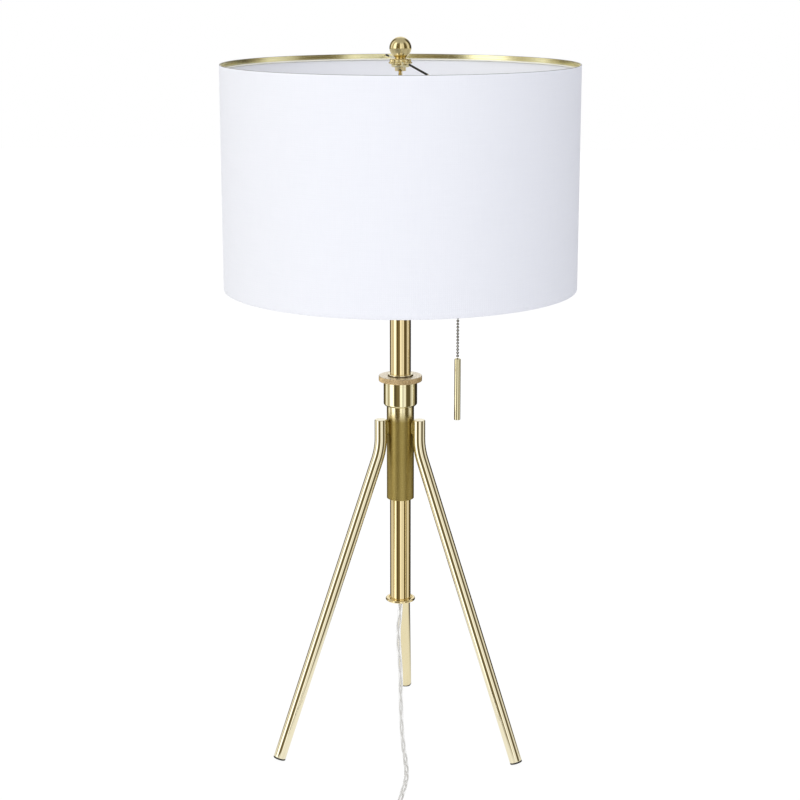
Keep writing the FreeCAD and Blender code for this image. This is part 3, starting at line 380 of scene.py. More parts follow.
def spin(name, outline, sides, *finish, closed=True, centre=(0, 0), wave=None):
    # Each outline point (r, z) goes round the vertical axis: x = r cos a, y = r sin a.
    # wave(angle, r, z) may change the radius over the grid.
    outline = np.asarray(outline, float) * mm
    a = fullTurn(sides)[None, :]
    r = np.repeat(outline[:, :1], sides, 1)
    z = np.repeat(outline[:, 1:2], sides, 1)
    if wave is not None:
        r = r + wave(a, r, z)
    points = np.stack([centre[0] * mm + r * np.cos(a), centre[1] * mm + r * np.sin(a), z], -1).reshape(-1, 3)
    step = np.linalg.norm(np.diff(np.vstack([outline, outline[:1]]), axis=0), axis=1)
    along = np.concatenate([[0], np.cumsum(step)])[:len(outline)]
    wrap = gridWrap(2 * np.pi * outline[:, 0].max(), along, sides, closed, step[-1])
    piece = finishMesh(name, points, gridFaces(len(outline), sides, closed), wrap, *finish)
    return piece if closed else closeEnds(piece)


def framesAlong(path):
    # Tangent and two cross directions at each point of a path, carried along without twist.
    tangent = np.gradient(path, axis=0)
    length = np.linalg.norm(tangent, axis=1)
    moving = np.flatnonzero(length > 1e-9)
    nearest = moving[np.abs(np.arange(len(path))[:, None] - moving).argmin(1)]
    tangent = tangent[nearest] / length[nearest][:, None]
    start = np.cross(tangent[0], [0.0, 0.3, 0.9])
    if np.linalg.norm(start) < 0.1:
        start = np.cross(tangent[0], [1.0, 0, 0])
    side = np.empty_like(path)
    side[0] = start / np.linalg.norm(start)
    for i in range(1, len(path)):
        moved = side[i - 1] - tangent[i] * side[i - 1].dot(tangent[i])
        side[i] = moved / np.linalg.norm(moved)
    return side, np.cross(tangent, side)


def ringFrames(path):
    # The same for a level ring: outwards, and square to that and to the ring.
    tangent = np.roll(path, -1, 0) - np.roll(path, 1, 0)
    tangent /= np.linalg.norm(tangent, axis=1)[:, None]
    side = np.cross(tangent, [0.0, 0, 1])
    side /= np.linalg.norm(side, axis=1)[:, None]
    return side, np.cross(tangent, side)


def ringsAlong(path, side, other, radius, sides):
    # Path point + radius (side cos a + other sin a).
    a = fullTurn(sides)
    ring = side[:, None] * np.cos(a)[None, :, None] + other[:, None] * np.sin(a)[None, :, None]
    return (path[:, None] + ring * radius[:, None, None]).reshape(-1, 3)


def walkedAlong(path):
    return np.concatenate([[0], np.cumsum(np.linalg.norm(np.diff(path, axis=0), axis=1))])


def pipe(name, path, radius, sides, *finish, closed=False):
    # A circle of the given radius (one value, or one for each path point) carried along a path in metres.
    path = np.asarray(path, float)
    radius = np.broadcast_to(np.asarray(radius, float), (len(path),))
    side, other = ringFrames(path) if closed else framesAlong(path)
    points = ringsAlong(path, side, other, radius, sides)
    last = np.linalg.norm(path[0] - path[-1])
    wrap = gridWrap(2 * np.pi * radius.max(), walkedAlong(path), sides, closed, last)
    piece = finishMesh(name, points, gridFaces(len(path), sides, closed), wrap, *finish)
    return piece if closed else closeEnds(piece)


def cappedEnds(path, radius, edge, steps=4):
    # Adds rows that round a pipe's ends over and close them. Radius and edge in metres.
    path = np.asarray(path, float)
    radius = np.broadcast_to(np.asarray(radius, float), (len(path),))
    a = np.linspace(0, np.pi / 2, steps + 1)[1:]

    def end(point, outward, r):
        rows = [point + outward * (edge * math.sin(t) - edge) for t in a] + [point, point]
        radii = [r - edge + edge * math.cos(t) for t in a] + [(r - edge) * 0.97, 0.0]
        return rows, radii

    first = (path[0] - path[1]) / np.linalg.norm(path[0] - path[1])
    last = (path[-1] - path[-2]) / np.linalg.norm(path[-1] - path[-2])
    headRows, headRadii = end(path[0], first, radius[0])
    tailRows, tailRadii = end(path[-1], last, radius[-1])
    rows = headRows[::-1] + [path[0] - first * edge] + list(path[1:-1]) + [path[-1] - last * edge] + tailRows
    radii = headRadii[::-1] + list(radius) + tailRadii
    return np.array(rows), np.array(radii)


def splinePoints(name, controls, per):
    # Points of the NURBS spline of those control points, as Blender evaluates it.
    data = bpy.data.curves.new(name, "CURVE")
    data.dimensions = "3D"
    data.resolution_u = per
    spline = data.splines.new("NURBS")
    spline.points.add(len(controls) - 1)
    for point, place in zip(spline.points, controls):
        point.co = (*place, 1)
    spline.order_u = 3
    spline.use_endpoint_u = True
    holder = bpy.data.objects.new(name, data)
    mesh = bpy.data.meshes.new_from_object(holder)
    points = np.array([v.co for v in mesh.vertices])
    bpy.data.meshes.remove(mesh)
    bpy.data.objects.remove(holder)
    return points


def evenly(points, step):
    # The same line, walked at an even step in metres.
    length = walkedAlong(points)
    count = max(2, int(round(length[-1] / step)))
    at = np.linspace(0, length[-1], count + 1)
    return np.stack([np.interp(at, length, points[:, i]) for i in range(3)], -1)


def newGroup(name, inputs, outputs):
    group = bpy.data.node_groups.new(name, "ShaderNodeTree")
    for label, value in inputs.items():
        socket = group.interface.new_socket(name=label, in_out="INPUT", socket_type="NodeSocketFloat")
        socket.default_value = value
    for label in outputs:
        group.interface.new_socket(name=label, in_out="OUTPUT", socket_type="NodeSocketFloat")
    return group, group.nodes.new("NodeGroupInput"), group.nodes.new("NodeGroupOutput")


def noise(tree, stretch, where=None, **values):
    # Noise on a piece's Object coordinates, or on the given ones, scaled by the stretch first.
    if where is None:
        where = tree.nodes.new("ShaderNodeTexCoord").outputs["Object"]
    shape = tree.nodes.new("ShaderNodeMapping")
    shape.inputs["Scale"].default_value = stretch
    feed(shape.inputs["Vector"], where)
    made = tree.nodes.new("ShaderNodeTexNoise")
    feed(made.inputs["Vector"], shape.outputs[0])
    for label, value in values.items():
        feed(made.inputs[label], value)
    return made.outputs[0]


def makeBrushed():
    # Fine lines along the height: noise squeezed across and drawn out in Z.
    group, come, go = newGroup("brushedLines", {"Fineness": 900.0, "Contrast": 1.0}, ["Lines", "Patches"])
    fine = noise(group, (1, 1, 0.012), Scale=come.outputs["Fineness"], Detail=3.0, Roughness=0.6)
    lines = add(times(less(fine, 0.5), come.outputs["Contrast"]), 0.5, clamp=True)
    feed(go.inputs["Lines"], lines)
    feed(go.inputs["Patches"], noise(group, (1, 1, 0.35), Scale=22.0, Detail=2.0))
    return group


def makeSpeckle():
    # Small scattered spots, from the peaks of a fine noise, over cloudy tarnish.
    group, come, go = newGroup("agedSpeckle", {"Fineness": 1400.0, "Amount": 0.5}, ["Spots", "Cloud"])
    fine = noise(group, (1, 1, 0.8), Scale=come.outputs["Fineness"], Detail=4.0, Roughness=0.75)
    peaks = maths("MAXIMUM", times(less(fine, 0.55), 7.0), 0.0)
    feed(go.inputs["Spots"], times(peaks, come.outputs["Amount"], clamp=True))
    feed(go.inputs["Cloud"], noise(group, (1, 1, 0.4), Scale=60.0, Detail=3.0))
    return group


def makeWeave():
    # Plain linen weave on the piece's own UV, in metres: threads both ways, thick and thin.
    group, come, go = newGroup("linenWeave", {"Threads": 1700.0, "Slub": 0.5}, ["Height", "Tone"])
    where = group.nodes.new("ShaderNodeUVMap")
    where.uv_map = "wrap"
    split = group.nodes.new("ShaderNodeSeparateXYZ")
    feed(split.inputs[0], where.outputs[0])

    def threads(coordinate, stretch):
        uneven = noise(group, stretch, where.outputs[0], Scale=1.0, Detail=2.0)
        phase = add(times(coordinate, come.outputs["Threads"]), times(uneven, 2.4))
        wave = times(add(maths("SINE", phase), 1.0), 0.5)
        return add(wave, times(uneven, come.outputs["Slub"])), uneven

    warp, warpTone = threads(split.outputs[0], (900, 30, 1))
    weft, weftTone = threads(split.outputs[1], (30, 900, 1))
    feed(go.inputs["Height"], maths("MAXIMUM", warp, weft))
    feed(go.inputs["Tone"], times(add(warpTone, weftTone), 0.5))
    return group


brushedLines, agedSpeckle, linenWeave = makeBrushed(), makeSpeckle(), makeWeave()


def newMaterial(name, **plain):
    # A Principled material; plain holds the sockets that are the same all over.
    made = bpy.data.materials.new(name)
    made.use_nodes = True
    shader = made.node_tree.nodes["Principled BSDF"]
    for label, value in plain.items():
        shader.inputs[label.replace("_", " ")].default_value = value
    return made, made.node_tree, shader


def useGroup(tree, group, **values):
    made = tree.nodes.new("ShaderNodeGroup")
    made.node_tree = group
    for label, value in values.items():
        made.inputs[label].default_value = value
    return made.outputs


def dress(shader, colour, rough, height=None, depth=0.0, strength=1.0):
    # Depth of the bump in millimetres.
    feed(shader.inputs["Base Color"], colour)
    feed(shader.inputs["Roughness"], rough)
    if height is None:
        return
    made = shader.id_data.nodes.new("ShaderNodeBump")
    made.inputs["Strength"].default_value = strength
    made.inputs["Distance"].default_value = depth * mm
    feed(made.inputs["Height"], height)
    feed(shader.inputs["Normal"], made.outputs[0])


# light colour, dark colour, roughness, how fine its lines are and how deep in millimetres
brassLooks = {
    "satinBrass": ((0.90, 0.76, 0.45), (0.84, 0.69, 0.37), (0.04, 0.08), 900, 0.004),
    "polishedBrass": ((0.92, 0.85, 0.63), (0.88, 0.80, 0.56), (0.03, 0.05), 500, 0.002),
    "collarBrass": ((0.90, 0.84, 0.58), (0.85, 0.77, 0.48), (0.03, 0.06), 700, 0.003),
    "bandBrass": ((0.92, 0.87, 0.55), (0.87, 0.81, 0.47), (0.18, 0.25), 300, 0.001),
    # the rear leg's brass is a darker copy of the polished brass: painted shade
    "rearLegBrass": ((0.90, 0.81, 0.54), (0.80, 0.69, 0.41), (0.06, 0.12), 900, 0.004),
    "finialBrass": ((0.90, 0.79, 0.46), (0.74, 0.60, 0.29), (0.12, 0.20), 700, 0.01),
}


def makeBrass(name):
    light, dark, rough, lines, depth = brassLooks[name]
    made, tree, shader = newMaterial(name, Metallic=1.0)
    brushed = useGroup(tree, brushedLines, Fineness=lines, Contrast=1.6)
    tone = times(add(brushed["Lines"], brushed["Patches"]), 0.5)
    dress(shader, blendColours(tone, dark, light), between(brushed["Lines"], *rough),
          brushed["Lines"], depth)
    return made


# darker, speckled and rougher up to where the legs end, paler and smoother above them; heights in metres
agedLook = {"light": (0.53, 0.42, 0.145), "dark": (0.37, 0.28, 0.075), "spot": (0.78, 0.65, 0.27),
            "rough": (0.40, 0.52), "fineness": 1500.0, "depth": 0.02,
            "aboveLegs": (0.88, 0.79, 0.50), "aboveLegsFrom": (0.347, 0.012), "aboveLegsRough": 0.05}


def makeAged(name):
    look = agedLook
    made, tree, shader = newMaterial(name, Metallic=1.0)
    speckle = useGroup(tree, agedSpeckle, Fineness=look["fineness"], Amount=0.8)
    base = blendColours(speckle["Cloud"], look["dark"], look["light"])
    base = blendColours(speckle["Spots"], base, look["spot"])
    aboveLegs = climb(splitPlace(tree)[2], *look["aboveLegsFrom"])
    rough = between(speckle["Cloud"], *look["rough"])
    rough = less(rough, times(less(rough, look["aboveLegsRough"]), aboveLegs))
    base = blendColours(aboveLegs, base, look["aboveLegs"])
    dress(shader, base, rough, speckle["Spots"], look["depth"])
    return made


# the top face is paler than the knurled rim
nutLook = {"light": (1.0, 0.82, 0.52), "dark": (0.66, 0.48, 0.25), "rough": (0.28, 0.44),
           "top": (0.92, 0.83, 0.66), "topFrom": (0.3938, 0.000125), "fineness": 450.0, "depth": 0.12}


def makeNutBrass(name):
    look = nutLook
    made, tree, shader = newMaterial(name, Metallic=0.9)
    speckle = useGroup(tree, agedSpeckle, Fineness=look["fineness"], Amount=0.9)
    tone = add(speckle["Spots"], times(speckle["Cloud"], 0.35), clamp=True)
    sides = blendColours(tone, look["dark"], look["light"])
    top = climb(splitPlace(tree)[2], *look["topFrom"])
    dress(shader, blendColours(top, sides, look["top"]),
          between(speckle["Cloud"], *look["rough"]), speckle["Spots"], look["depth"])
    return made


def makePlain(name, light, dark, rough, metallic=0.0, fineness=300.0, depth=0.02, **plain):
    # Mould or plating texture: clouded colour, uneven gloss and a fine grain.
    made, tree, shader = newMaterial(name, Metallic=metallic, **plain)
    speckle = useGroup(tree, agedSpeckle, Fineness=fineness, Amount=0.4)
    dress(shader, blendColours(speckle["Cloud"], dark, light),
          between(speckle["Cloud"], *rough), speckle["Spots"], depth)
    return made


# painted highlight and shade: bright where a bead faces the eye and almost black round its rim
glintBeadLook = {"middle": (1.0, 0.97, 0.90), "rim": (0.05, 0.045, 0.03), "shadedRimFrom": (0.05, 1 / 9),
            "rough": (0.22, 0.34)}


def makeGlintBeads(name):
    look = glintBeadLook
    made, tree, shader = newMaterial(name, Metallic=1.0)
    # the colour runs from a painted highlight where the bead faces the eye to painted shade round its rim
    facing = tree.nodes.new("ShaderNodeLayerWeight").outputs["Facing"]
    rim = climb(facing, *look["shadedRimFrom"])
    speckle = useGroup(tree, agedSpeckle, Fineness=800.0, Amount=0.4)
    dress(shader, blendColours(rim, look["middle"], look["rim"]),
          between(speckle["Cloud"], *look["rough"]))
    return made


linenLook = {
    "light": (0.945, 0.945, 0.95), "dark": (0.89, 0.89, 0.90), "rough": 0.95,
    "threads": 3200.0, "depth": 0.06,
    # the drum's inner wall as the polished band shows it, paler where the room's light reaches it
    "inMetal": (1.0, 0.985, 0.93),
    "lit": [(-180, 0.95), (-160, 0.92), (-132, 0.62), (-98, 0.55), (-75, 0.82), (-20, 0.82), (5, 0.66),
            (35, 0.62), (70, 0.92), (180, 0.95)],
}


def makeLinen(name):
    look = linenLook
    made, tree, shader = newMaterial(name, Sheen_Weight=0.15, Specular_IOR_Level=0.15)
    weave = useGroup(tree, linenWeave, Threads=look["threads"], Slub=0.6)
    cloth = blendColours(weave["Tone"], look["dark"], look["light"])
    x, y, z = splitPlace(tree)
    stops = [(degrees, [level * part for part in look["inMetal"]]) for degrees, level in look["lit"]]
    wall = ramp(turnShare(x, y), stops)
    dress(shader, blendColours(rayIs(tree, "Is Glossy Ray"), cloth, wall), look["rough"],
          weave["Height"], look["depth"], 0.6)
    return made


# light colour, dark colour, roughness, and what is not as makePlain has it
plainLooks = {
    "blackPlastic": ((0.035, 0.033, 0.03), (0.02, 0.019, 0.018), (0.42, 0.55), {}),
    "whiteNylon": ((0.80, 0.79, 0.75), (0.72, 0.71, 0.67), (0.4, 0.5), {}),
    "fibreLiner": ((0.48, 0.38, 0.26), (0.38, 0.29, 0.19), (0.7, 0.85), {"depth": 0.06}),
    "nickel": ((0.66, 0.63, 0.55), (0.40, 0.37, 0.30), (0.03, 0.07), {"metallic": 1.0}),
    # a painted highlight, for the rolled tape edge under the band
    "creamTape": ((0.98, 0.96, 0.84), (0.95, 0.92, 0.78), (0.4, 0.5), {"fineness": 400.0}),
    "darkWire": ((0.05, 0.045, 0.035), (0.012, 0.01, 0.008), (0.5, 0.6),
                 {"fineness": 500.0, "Specular_IOR_Level": 0.1}),
    # painted shade, for the gap under the collet's lip
    "sootyBrass": ((0.12, 0.075, 0.025), (0.05, 0.03, 0.01), (0.6, 0.7),
                   {"fineness": 500.0, "Specular_IOR_Level": 0.0}),
    # painted shade: the thin dark lines along the rim's top edge and under the band's tape
    "rimSeam": ((0.30, 0.29, 0.25), (0.16, 0.15, 0.12), (0.4, 0.6), {"fineness": 200.0}),
    "steelPlate": ((0.66, 0.65, 0.62), (0.52, 0.51, 0.49), (0.25, 0.35), {"metallic": 1.0}),
    "thinAluminium": ((0.80, 0.80, 0.80), (0.68, 0.68, 0.68), (0.25, 0.38), {"metallic": 1.0}),
    "frostedGlass": ((0.93, 0.93, 0.91), (0.90, 0.90, 0.88), (0.45, 0.55), {"Transmission_Weight": 0.25}),
    "wireSheath": ((0.78, 0.76, 0.70), (0.70, 0.68, 0.62), (0.4, 0.5), {}),
    "clearSheath": ((0.99, 0.99, 0.985), (0.97, 0.97, 0.96), (0.04, 0.08),
                    {"depth": 0.01, "Transmission_Weight": 1.0, "IOR": 1.22}),
    "silverStrand": ((0.90, 0.89, 0.87), (0.80, 0.79, 0.77), (0.25, 0.4),
                     {"metallic": 0.3, "fineness": 900.0}),
}
looks = {name: makeBrass(name) for name in brassLooks}
for make, name in ((makeAged, "agedBrass"), (makeNutBrass, "nutBrass"), (makeLinen, "whiteLinen"),
                   (makeGlintBeads, "beadSteel")):
    looks[name] = make(name)
for name, (light, dark, rough, rest) in plainLooks.items():
    looks[name] = makePlain(name, light, dark, rough, **rest)
print("materials ready")


# the cord's routes are the ones that the part's source chose, in millimetres
cordSizes = {
    "radius": 2.5, "step": 1.5,
    "coreRadius": 0.60, "coreOffset": 0.95, "corePitch": 46.0, "coreSides": 8,
    "coilOut": 40.0, "coilPitch": 5.5, "coilTurns": 7.875, "coilLift": 5.5, "coilCentre": (-35.0, -234.0),
    "coilPointsPerTurn": 16,
}
leadRoute = [(0, 0, 150), (0, 0, 138), (-2.6, 0.4, 118), (-1.4, -1.2, 95), (0.4, -3.0, 72), (0.8, -9.5, 48),
             (2.0, -25, 25), (5.0, -50, 9), (9.5, -82, 2.5), (11.5, -118, 2.5), (8.0, -153, 2.5),
             (5.0, -188, 2.5)]
tailRoute = [(-3.103, -209.172, 8.0), (14.24, -225.762, 8.0), (24.385, -241.827, 7.1),
             (26.399, -255.681, 7.1)]


def coilRoute():
    # In and out again at one rate, r = out - pitch (middle - |turn - middle|), climbing at the middle.
    s = cordSizes
    turn = np.arange(0, s["coilTurns"] + 1e-6, 1 / s["coilPointsPerTurn"])
    middle = s["coilTurns"] / 2
    r = s["coilOut"] - s["coilPitch"] * (middle - np.abs(turn - middle))
    share = np.clip((turn - middle + 0.25) / 0.5, 0, 1)
    z = s["radius"] + s["coilLift"] * (1 - np.cos(np.pi * share)) / 2
    a = -2 * np.pi * turn
    return np.stack([s["coilCentre"][0] + r * np.cos(a), s["coilCentre"][1] + r * np.sin(a), z], -1)


def strands(name, line):
    # Two cores twisted about the line: a helix of the given pitch and offset for each.
    s = cordSizes
    sides = s["coreSides"]
    side, other = framesAlong(line)
    walked = walkedAlong(line)
    a = (2 * np.pi * walked / (s["corePitch"] * mm))[:, None]
    radius = np.full(len(line), s["coreRadius"] * mm)
    radius[[0, -1]] = 0
    points, faces, wraps = [], [], []
    for number, half in enumerate((0, np.pi)):
        path = line + (side * np.cos(a + half) + other * np.sin(a + half)) * s["coreOffset"] * mm
        points.append(ringsAlong(path, side, other, radius, sides))
        faces.append(gridFaces(len(path), sides, False) + number * len(path) * sides)
        wraps.append(gridWrap(2 * np.pi * s["coreRadius"] * mm, walked, sides, False))
    return closeEnds(finishMesh(name, np.vstack(points), np.vstack(faces), np.vstack(wraps),
                                "stand", "clear_cord", "silverStrand"))


def sheath(name, line, *stands):
    radius = cordSizes["radius"] * mm
    rows, radii = cappedEnds(line, radius, radius * 0.15)
    return pipe(name, rows, radii, 20, "stand", "clear_cord", "clearSheath", *stands)


def makeCord():
    controls = np.array([*leadRoute, *coilRoute(), *tailRoute], float) * mm
    step = cordSizes["step"] * mm
    line = evenly(splinePoints("cordLine", controls, 8), step)
    cord = sheath("cord", line, "cord_lead", "cord_coil", "cord_tail")
    cores = strands("cordCores", line)
    print("cord length", round(float(walkedAlong(line)[-1]), 3))
    low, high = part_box("cord_inner")
    inner = evenly(np.array([[0, 0, low.z], [0, 0, high.z]]), step)
    sheath("cordInPole", inner, "cord_inner")
    strands("coresInPole", inner)


makeCord()
print("cord ready")


poleSizes = {"radius": 10.75, "wall": 1.2, "low": 153.6, "high": 486.0, "edge": 0.25}
stopSizes = {"radius": 15.4, "thick": 2.8, "lip": 1.0, "lipRadius": 8.6, "flat": 2.5}
sleeveSizes = {"radius": 14.0, "wall": 1.4, "low": 264.0, "high": 378.0, "edge": 0.45}
collarSizes = {"radius": 17.2, "low": 362.7, "high": 385.3, "chamfer": 1.7, "stem": 15.5, "stemTop": 390.7,
               "bore": 13.3}
colletSizes = {"radius": 13.25, "lip": 12.6, "low": 378.35, "high": 395.85, "coneLow": 387.0,
               "coneHigh": 391.0, "gapLow": 393.7, "gapHigh": 394.85}
nutSizes = {"radius": 22.0, "low": 385.35, "rimLow": 388.5, "neckTop": 388.2, "high": 394.05, "bore": 15.85,
            "plate": 3.0, "hole": 13.0, "neck": 17.2, "knurl": 0.45, "knurls": 84, "crossings": 4.0}


def makePole():
    s = poleSizes
    outer = s["radius"]
    spin("poleTube", wallOf(outer - s["wall"], outer, s["low"], s["high"], s["edge"]), 128,
         "pole", "brass_satin", "satinBrass", "pole_tube")
    s = stopSizes
    poleLow = poleSizes["low"]
    low = poleLow - s["lip"]
    high = low + s["thick"]
    half = s["thick"] / 2
    outline = [(s["lipRadius"], low), (s["radius"] - s["flat"], low)]
    outline += arcOf((s["radius"] - half, low + half), half, -90, 90, 12)
    outline += [(s["radius"] - s["flat"], high), (outer + 0.05, high), (outer, high - 0.1), (outer, poleLow),
                (s["lipRadius"], poleLow)]
    spin("endStop", outline, 128, "pole", "brass_satin", "satinBrass", "end_stop")


def makeSleeve():
    s, c = sleeveSizes, collarSizes
    spin("sleeve", wallOf(s["radius"] - s["wall"], s["radius"], s["low"], s["high"], s["edge"]), 128,
         "stand", "brass_aged", "agedBrass", "sleeve_tube")
    outline = [(s["radius"], c["low"], 0.2), (c["radius"] - c["chamfer"], c["low"], 0.3),
               (c["radius"], c["low"] + c["chamfer"], 0.6), (c["radius"], c["high"], 0.08),
               (c["stem"], c["high"], 0.1), (c["stem"], c["stemTop"], 0.4), (c["bore"], c["stemTop"], 0.2),
               (c["bore"], s["high"]), (s["radius"], s["high"])]
    spin("clampCollar", rounded(outline), 128, "stand", "brass_satin", "collarBrass", "clamp_collar")


def makeNut():
    c, n = colletSizes, nutSizes
    bore = poleSizes["radius"] + 0.05
    outline = [(bore, c["low"], 0.2), (c["radius"], c["low"], 0.3), (c["radius"], c["coneLow"], 0.4),
               (c["lip"], c["coneHigh"], 0.4), (c["lip"], c["high"], 0.5), (bore, c["high"], 0.25)]
    spin("colletLip", rounded(outline, 6), 128, "collet", "brass_polished", "polishedBrass", "collet")
    low, high, rimLow, neckTop, radius = n["low"], n["high"], n["rimLow"], n["neckTop"], n["radius"]
    outline = [(n["neck"] - 0.4, neckTop), (n["neck"] + 0.2, neckTop), (radius - 0.6, rimLow - 0.15),
               (radius - 0.2, rimLow)]
    outline += [(radius, z) for z in np.linspace(rimLow + 0.3, high - 0.4, 22)]
    outline += [(radius - 0.15, high - 0.12), (radius - 0.5, high), (radius - 0.8, high)]
    outline += [(n["hole"] + 0.5, high), (n["hole"] + 0.15, high - 0.1), (n["hole"], high - 0.4)]
    outline += [(n["hole"] + 0.6, high - n["plate"]), (n["bore"], high - n["plate"]), (n["bore"], neckTop)]

    def knurl(a, r, z):
        # crossed ridges, a little uneven, that fade out at the rim's edges
        up = (z / mm - rimLow) / (high - rimLow)
        fade = np.clip(np.minimum(up, 1 - up) * 7, 0, 1) * (r > (radius - 0.05) * mm)
        wander = 0.35 * np.sin(7 * a + 2 * up) + 0.25 * np.sin(17 * a + 1.3)
        one = np.abs(np.sin(n["knurls"] / 2 * a + n["crossings"] * up + wander))
        two = np.abs(np.sin(n["knurls"] / 2 * a - n["crossings"] * up + 0.7 + wander))
        return (np.minimum(one, two) - 0.5) * n["knurl"] * mm * fade

    spin("lockNut", outline, 960, "nut", "brass_matte", "nutBrass", "lock_nut", wave=knurl)
    spin("nutNeck", wallOf(n["bore"], n["neck"], low, neckTop + 0.2, 0.2, 0.05, 0.1, 0.1), 128,
         "nut", "brass_satin", "collarBrass")
    # a dark ring put in the gap between the nut's top and the lip: painted shade
    spin("lipGap", wallOf(bore + 0.2, c["lip"] + 0.1, c["gapLow"], c["gapHigh"], 0.1, 0.1, 0.2, 0.1), 96,
         "collet", "brass_polished", "sootyBrass")


makePole()
makeSleeve()
makeNut()
print("pole, sleeve and nut ready")


legSizes = {"names": ("rear", "left", "right"), "firstAngle": 90, "radius": 6.35, "axis": 22.6, "top": 350.0,
            "lean": 20.52, "foot": 142.1, "bend": 65.0, "topEdge": 0.9, "capThick": 1.3, "capSunk": 0.6,
            "beadLow": 333.0, "beadHigh": 348.0, "beadWide": 6.0, "beadReach": 2.2}


def legPath():
    # In the leg's own upright plane: straight down, an arc of the bend's radius, then along the lean.
    s = legSizes
    lean = math.radians(s["lean"])
    cornerZ = (s["foot"] - s["axis"]) / math.tan(lean)
    startZ = cornerZ + s["bend"] * math.tan(lean / 2)
    a = np.linspace(0, lean, 25)
    bendX = s["axis"] + s["bend"] * (1 - np.cos(a))
    bendZ = startZ - s["bend"] * np.sin(a)
    endZ = s["radius"] * math.sin(lean) - s["capSunk"]
    long = (bendZ[-1] - endZ) / math.cos(lean) - s["capThick"]
    run = np.linspace(0, long, 40)[1:]
    stub = np.linspace(s["top"], startZ, 8)[:-1]
    x = np.concatenate([np.full(len(stub), s["axis"]), bendX, bendX[-1] + run * math.sin(lean)])
    z = np.concatenate([stub, bendZ, bendZ[-1] - run * math.cos(lean)])
    return np.stack([x, np.zeros(len(x)), z], -1) * mm


def turned(points, degrees):
    c, s = math.cos(math.radians(degrees)), math.sin(math.radians(degrees))
    return points @ np.array([[c, s, 0], [-s, c, 0], [0, 0, 1]])


def brazingBead():
    # An ellipse in plan, swelling to its middle height and closing at both ends.
    s = legSizes
    t = np.linspace(-1, 1, 33)[:, None]
    a = fullTurn(24)[None, :]
    swell = np.sqrt(np.clip(1 - np.abs(t) ** 3, 0, 1))
    middleX = (sleeveSizes["radius"] + s["axis"] - s["radius"]) / 2
    x, y = middleX + s["beadReach"] * swell * np.cos(a), s["beadWide"] / 2 * swell * np.sin(a)
    z = (s["beadHigh"] + s["beadLow"]) / 2 + (s["beadHigh"] - s["beadLow"]) / 2 * t + 0 * a
    return np.stack([x, y, z], -1).reshape(-1, 3) * mm


def footCap():
    # A disc square to the leg's end, its underside cut off level at the floor.
    s = legSizes
    lean = math.radians(s["lean"])
    down, out = np.array([math.sin(lean), 0, -math.cos(lean)]), np.array([math.cos(lean), 0, math.sin(lean)])
    r, thick = s["radius"], s["capThick"]
    rim = rounded([(0.0, -0.05), (r - 0.1, -0.05), (r, thick, 0.4), (0.0, thick)], closed=False) * mm
    turn = fullTurn(48)[None, :, None]
    across = out * np.cos(turn) + np.array([0, 1.0, 0]) * np.sin(turn)
    cap = (legPath()[-1] + rim[:, None, 1:] * down + rim[:, None, :1] * across).reshape(-1, 3)
    cap[:, 2] = np.maximum(cap[:, 2], 0.0)
    return cap, gridFaces(len(rim), 48, False)


def makeLegs():
    s = legSizes
    path, radii = cappedEnds(legPath(), s["radius"] * mm, s["topEdge"] * mm, 5)
    cap, capFaces = footCap()
    for i, name in enumerate(s["names"]):
        angle = s["firstAngle"] + 120 * i
        closeEnds(finishMesh("footCap." + name, turned(cap, angle), capFaces, None, "stand", "black_plastic",
                             "blackPlastic", "foot_cap_" + name))
        # the rear leg takes the darker brass, painted shade
        pipe("leg." + name, turned(path, angle), radii, 64, "stand", "brass_polished",
             "rearLegBrass" if name == "rear" else "polishedBrass", "leg_" + name)
        closeEnds(finishMesh("brazing." + name, turned(brazingBead(), angle), gridFaces(33, 24, False), None,
                             "stand", "brass_polished", "agedBrass"))


makeLegs()
print("legs ready")


shadeSizes = {"radius": 177.8, "wall": 1.0, "low": 485.7, "high": 707.75, "seam": 0.28,
              "bandTall": 5.1, "bandFoot": 1.0, "bandTop": 0.4, "tape": 0.85, "tapeDrop": 0.35,
              "shadeLineDrop": 1.15, "bottomWire": 1.3, "hemRise": 0.6, "stripTall": 2.8, "stripDrop": 2.6}
spiderSizes = {"hubRadius": 9.0, "hubThick": 2.6, "hubLow": 704.7, "studHole": 3.05, "armEnd": 707.2,
               "wire": 0.88, "twist": 0.2, "twistPitch": 3.4, "endWire": 0.9, "step": 0.5, "edge": 0.2,
               # which way each arm points, how high it runs, and where its dark wire starts and ends
               "arms": {"Front": (-79.1, 711.2, 58, 170), "Rear": (97.8, 711.0, 122, 162)}}


def hoop(name, radius, z, wire, sides, *finish):
    a = fullTurn(240)
    path = np.stack([radius * np.cos(a), radius * np.sin(a), np.full(240, z)], -1) * mm
    pipe(name, path, wire * mm, sides, *finish, closed=True)


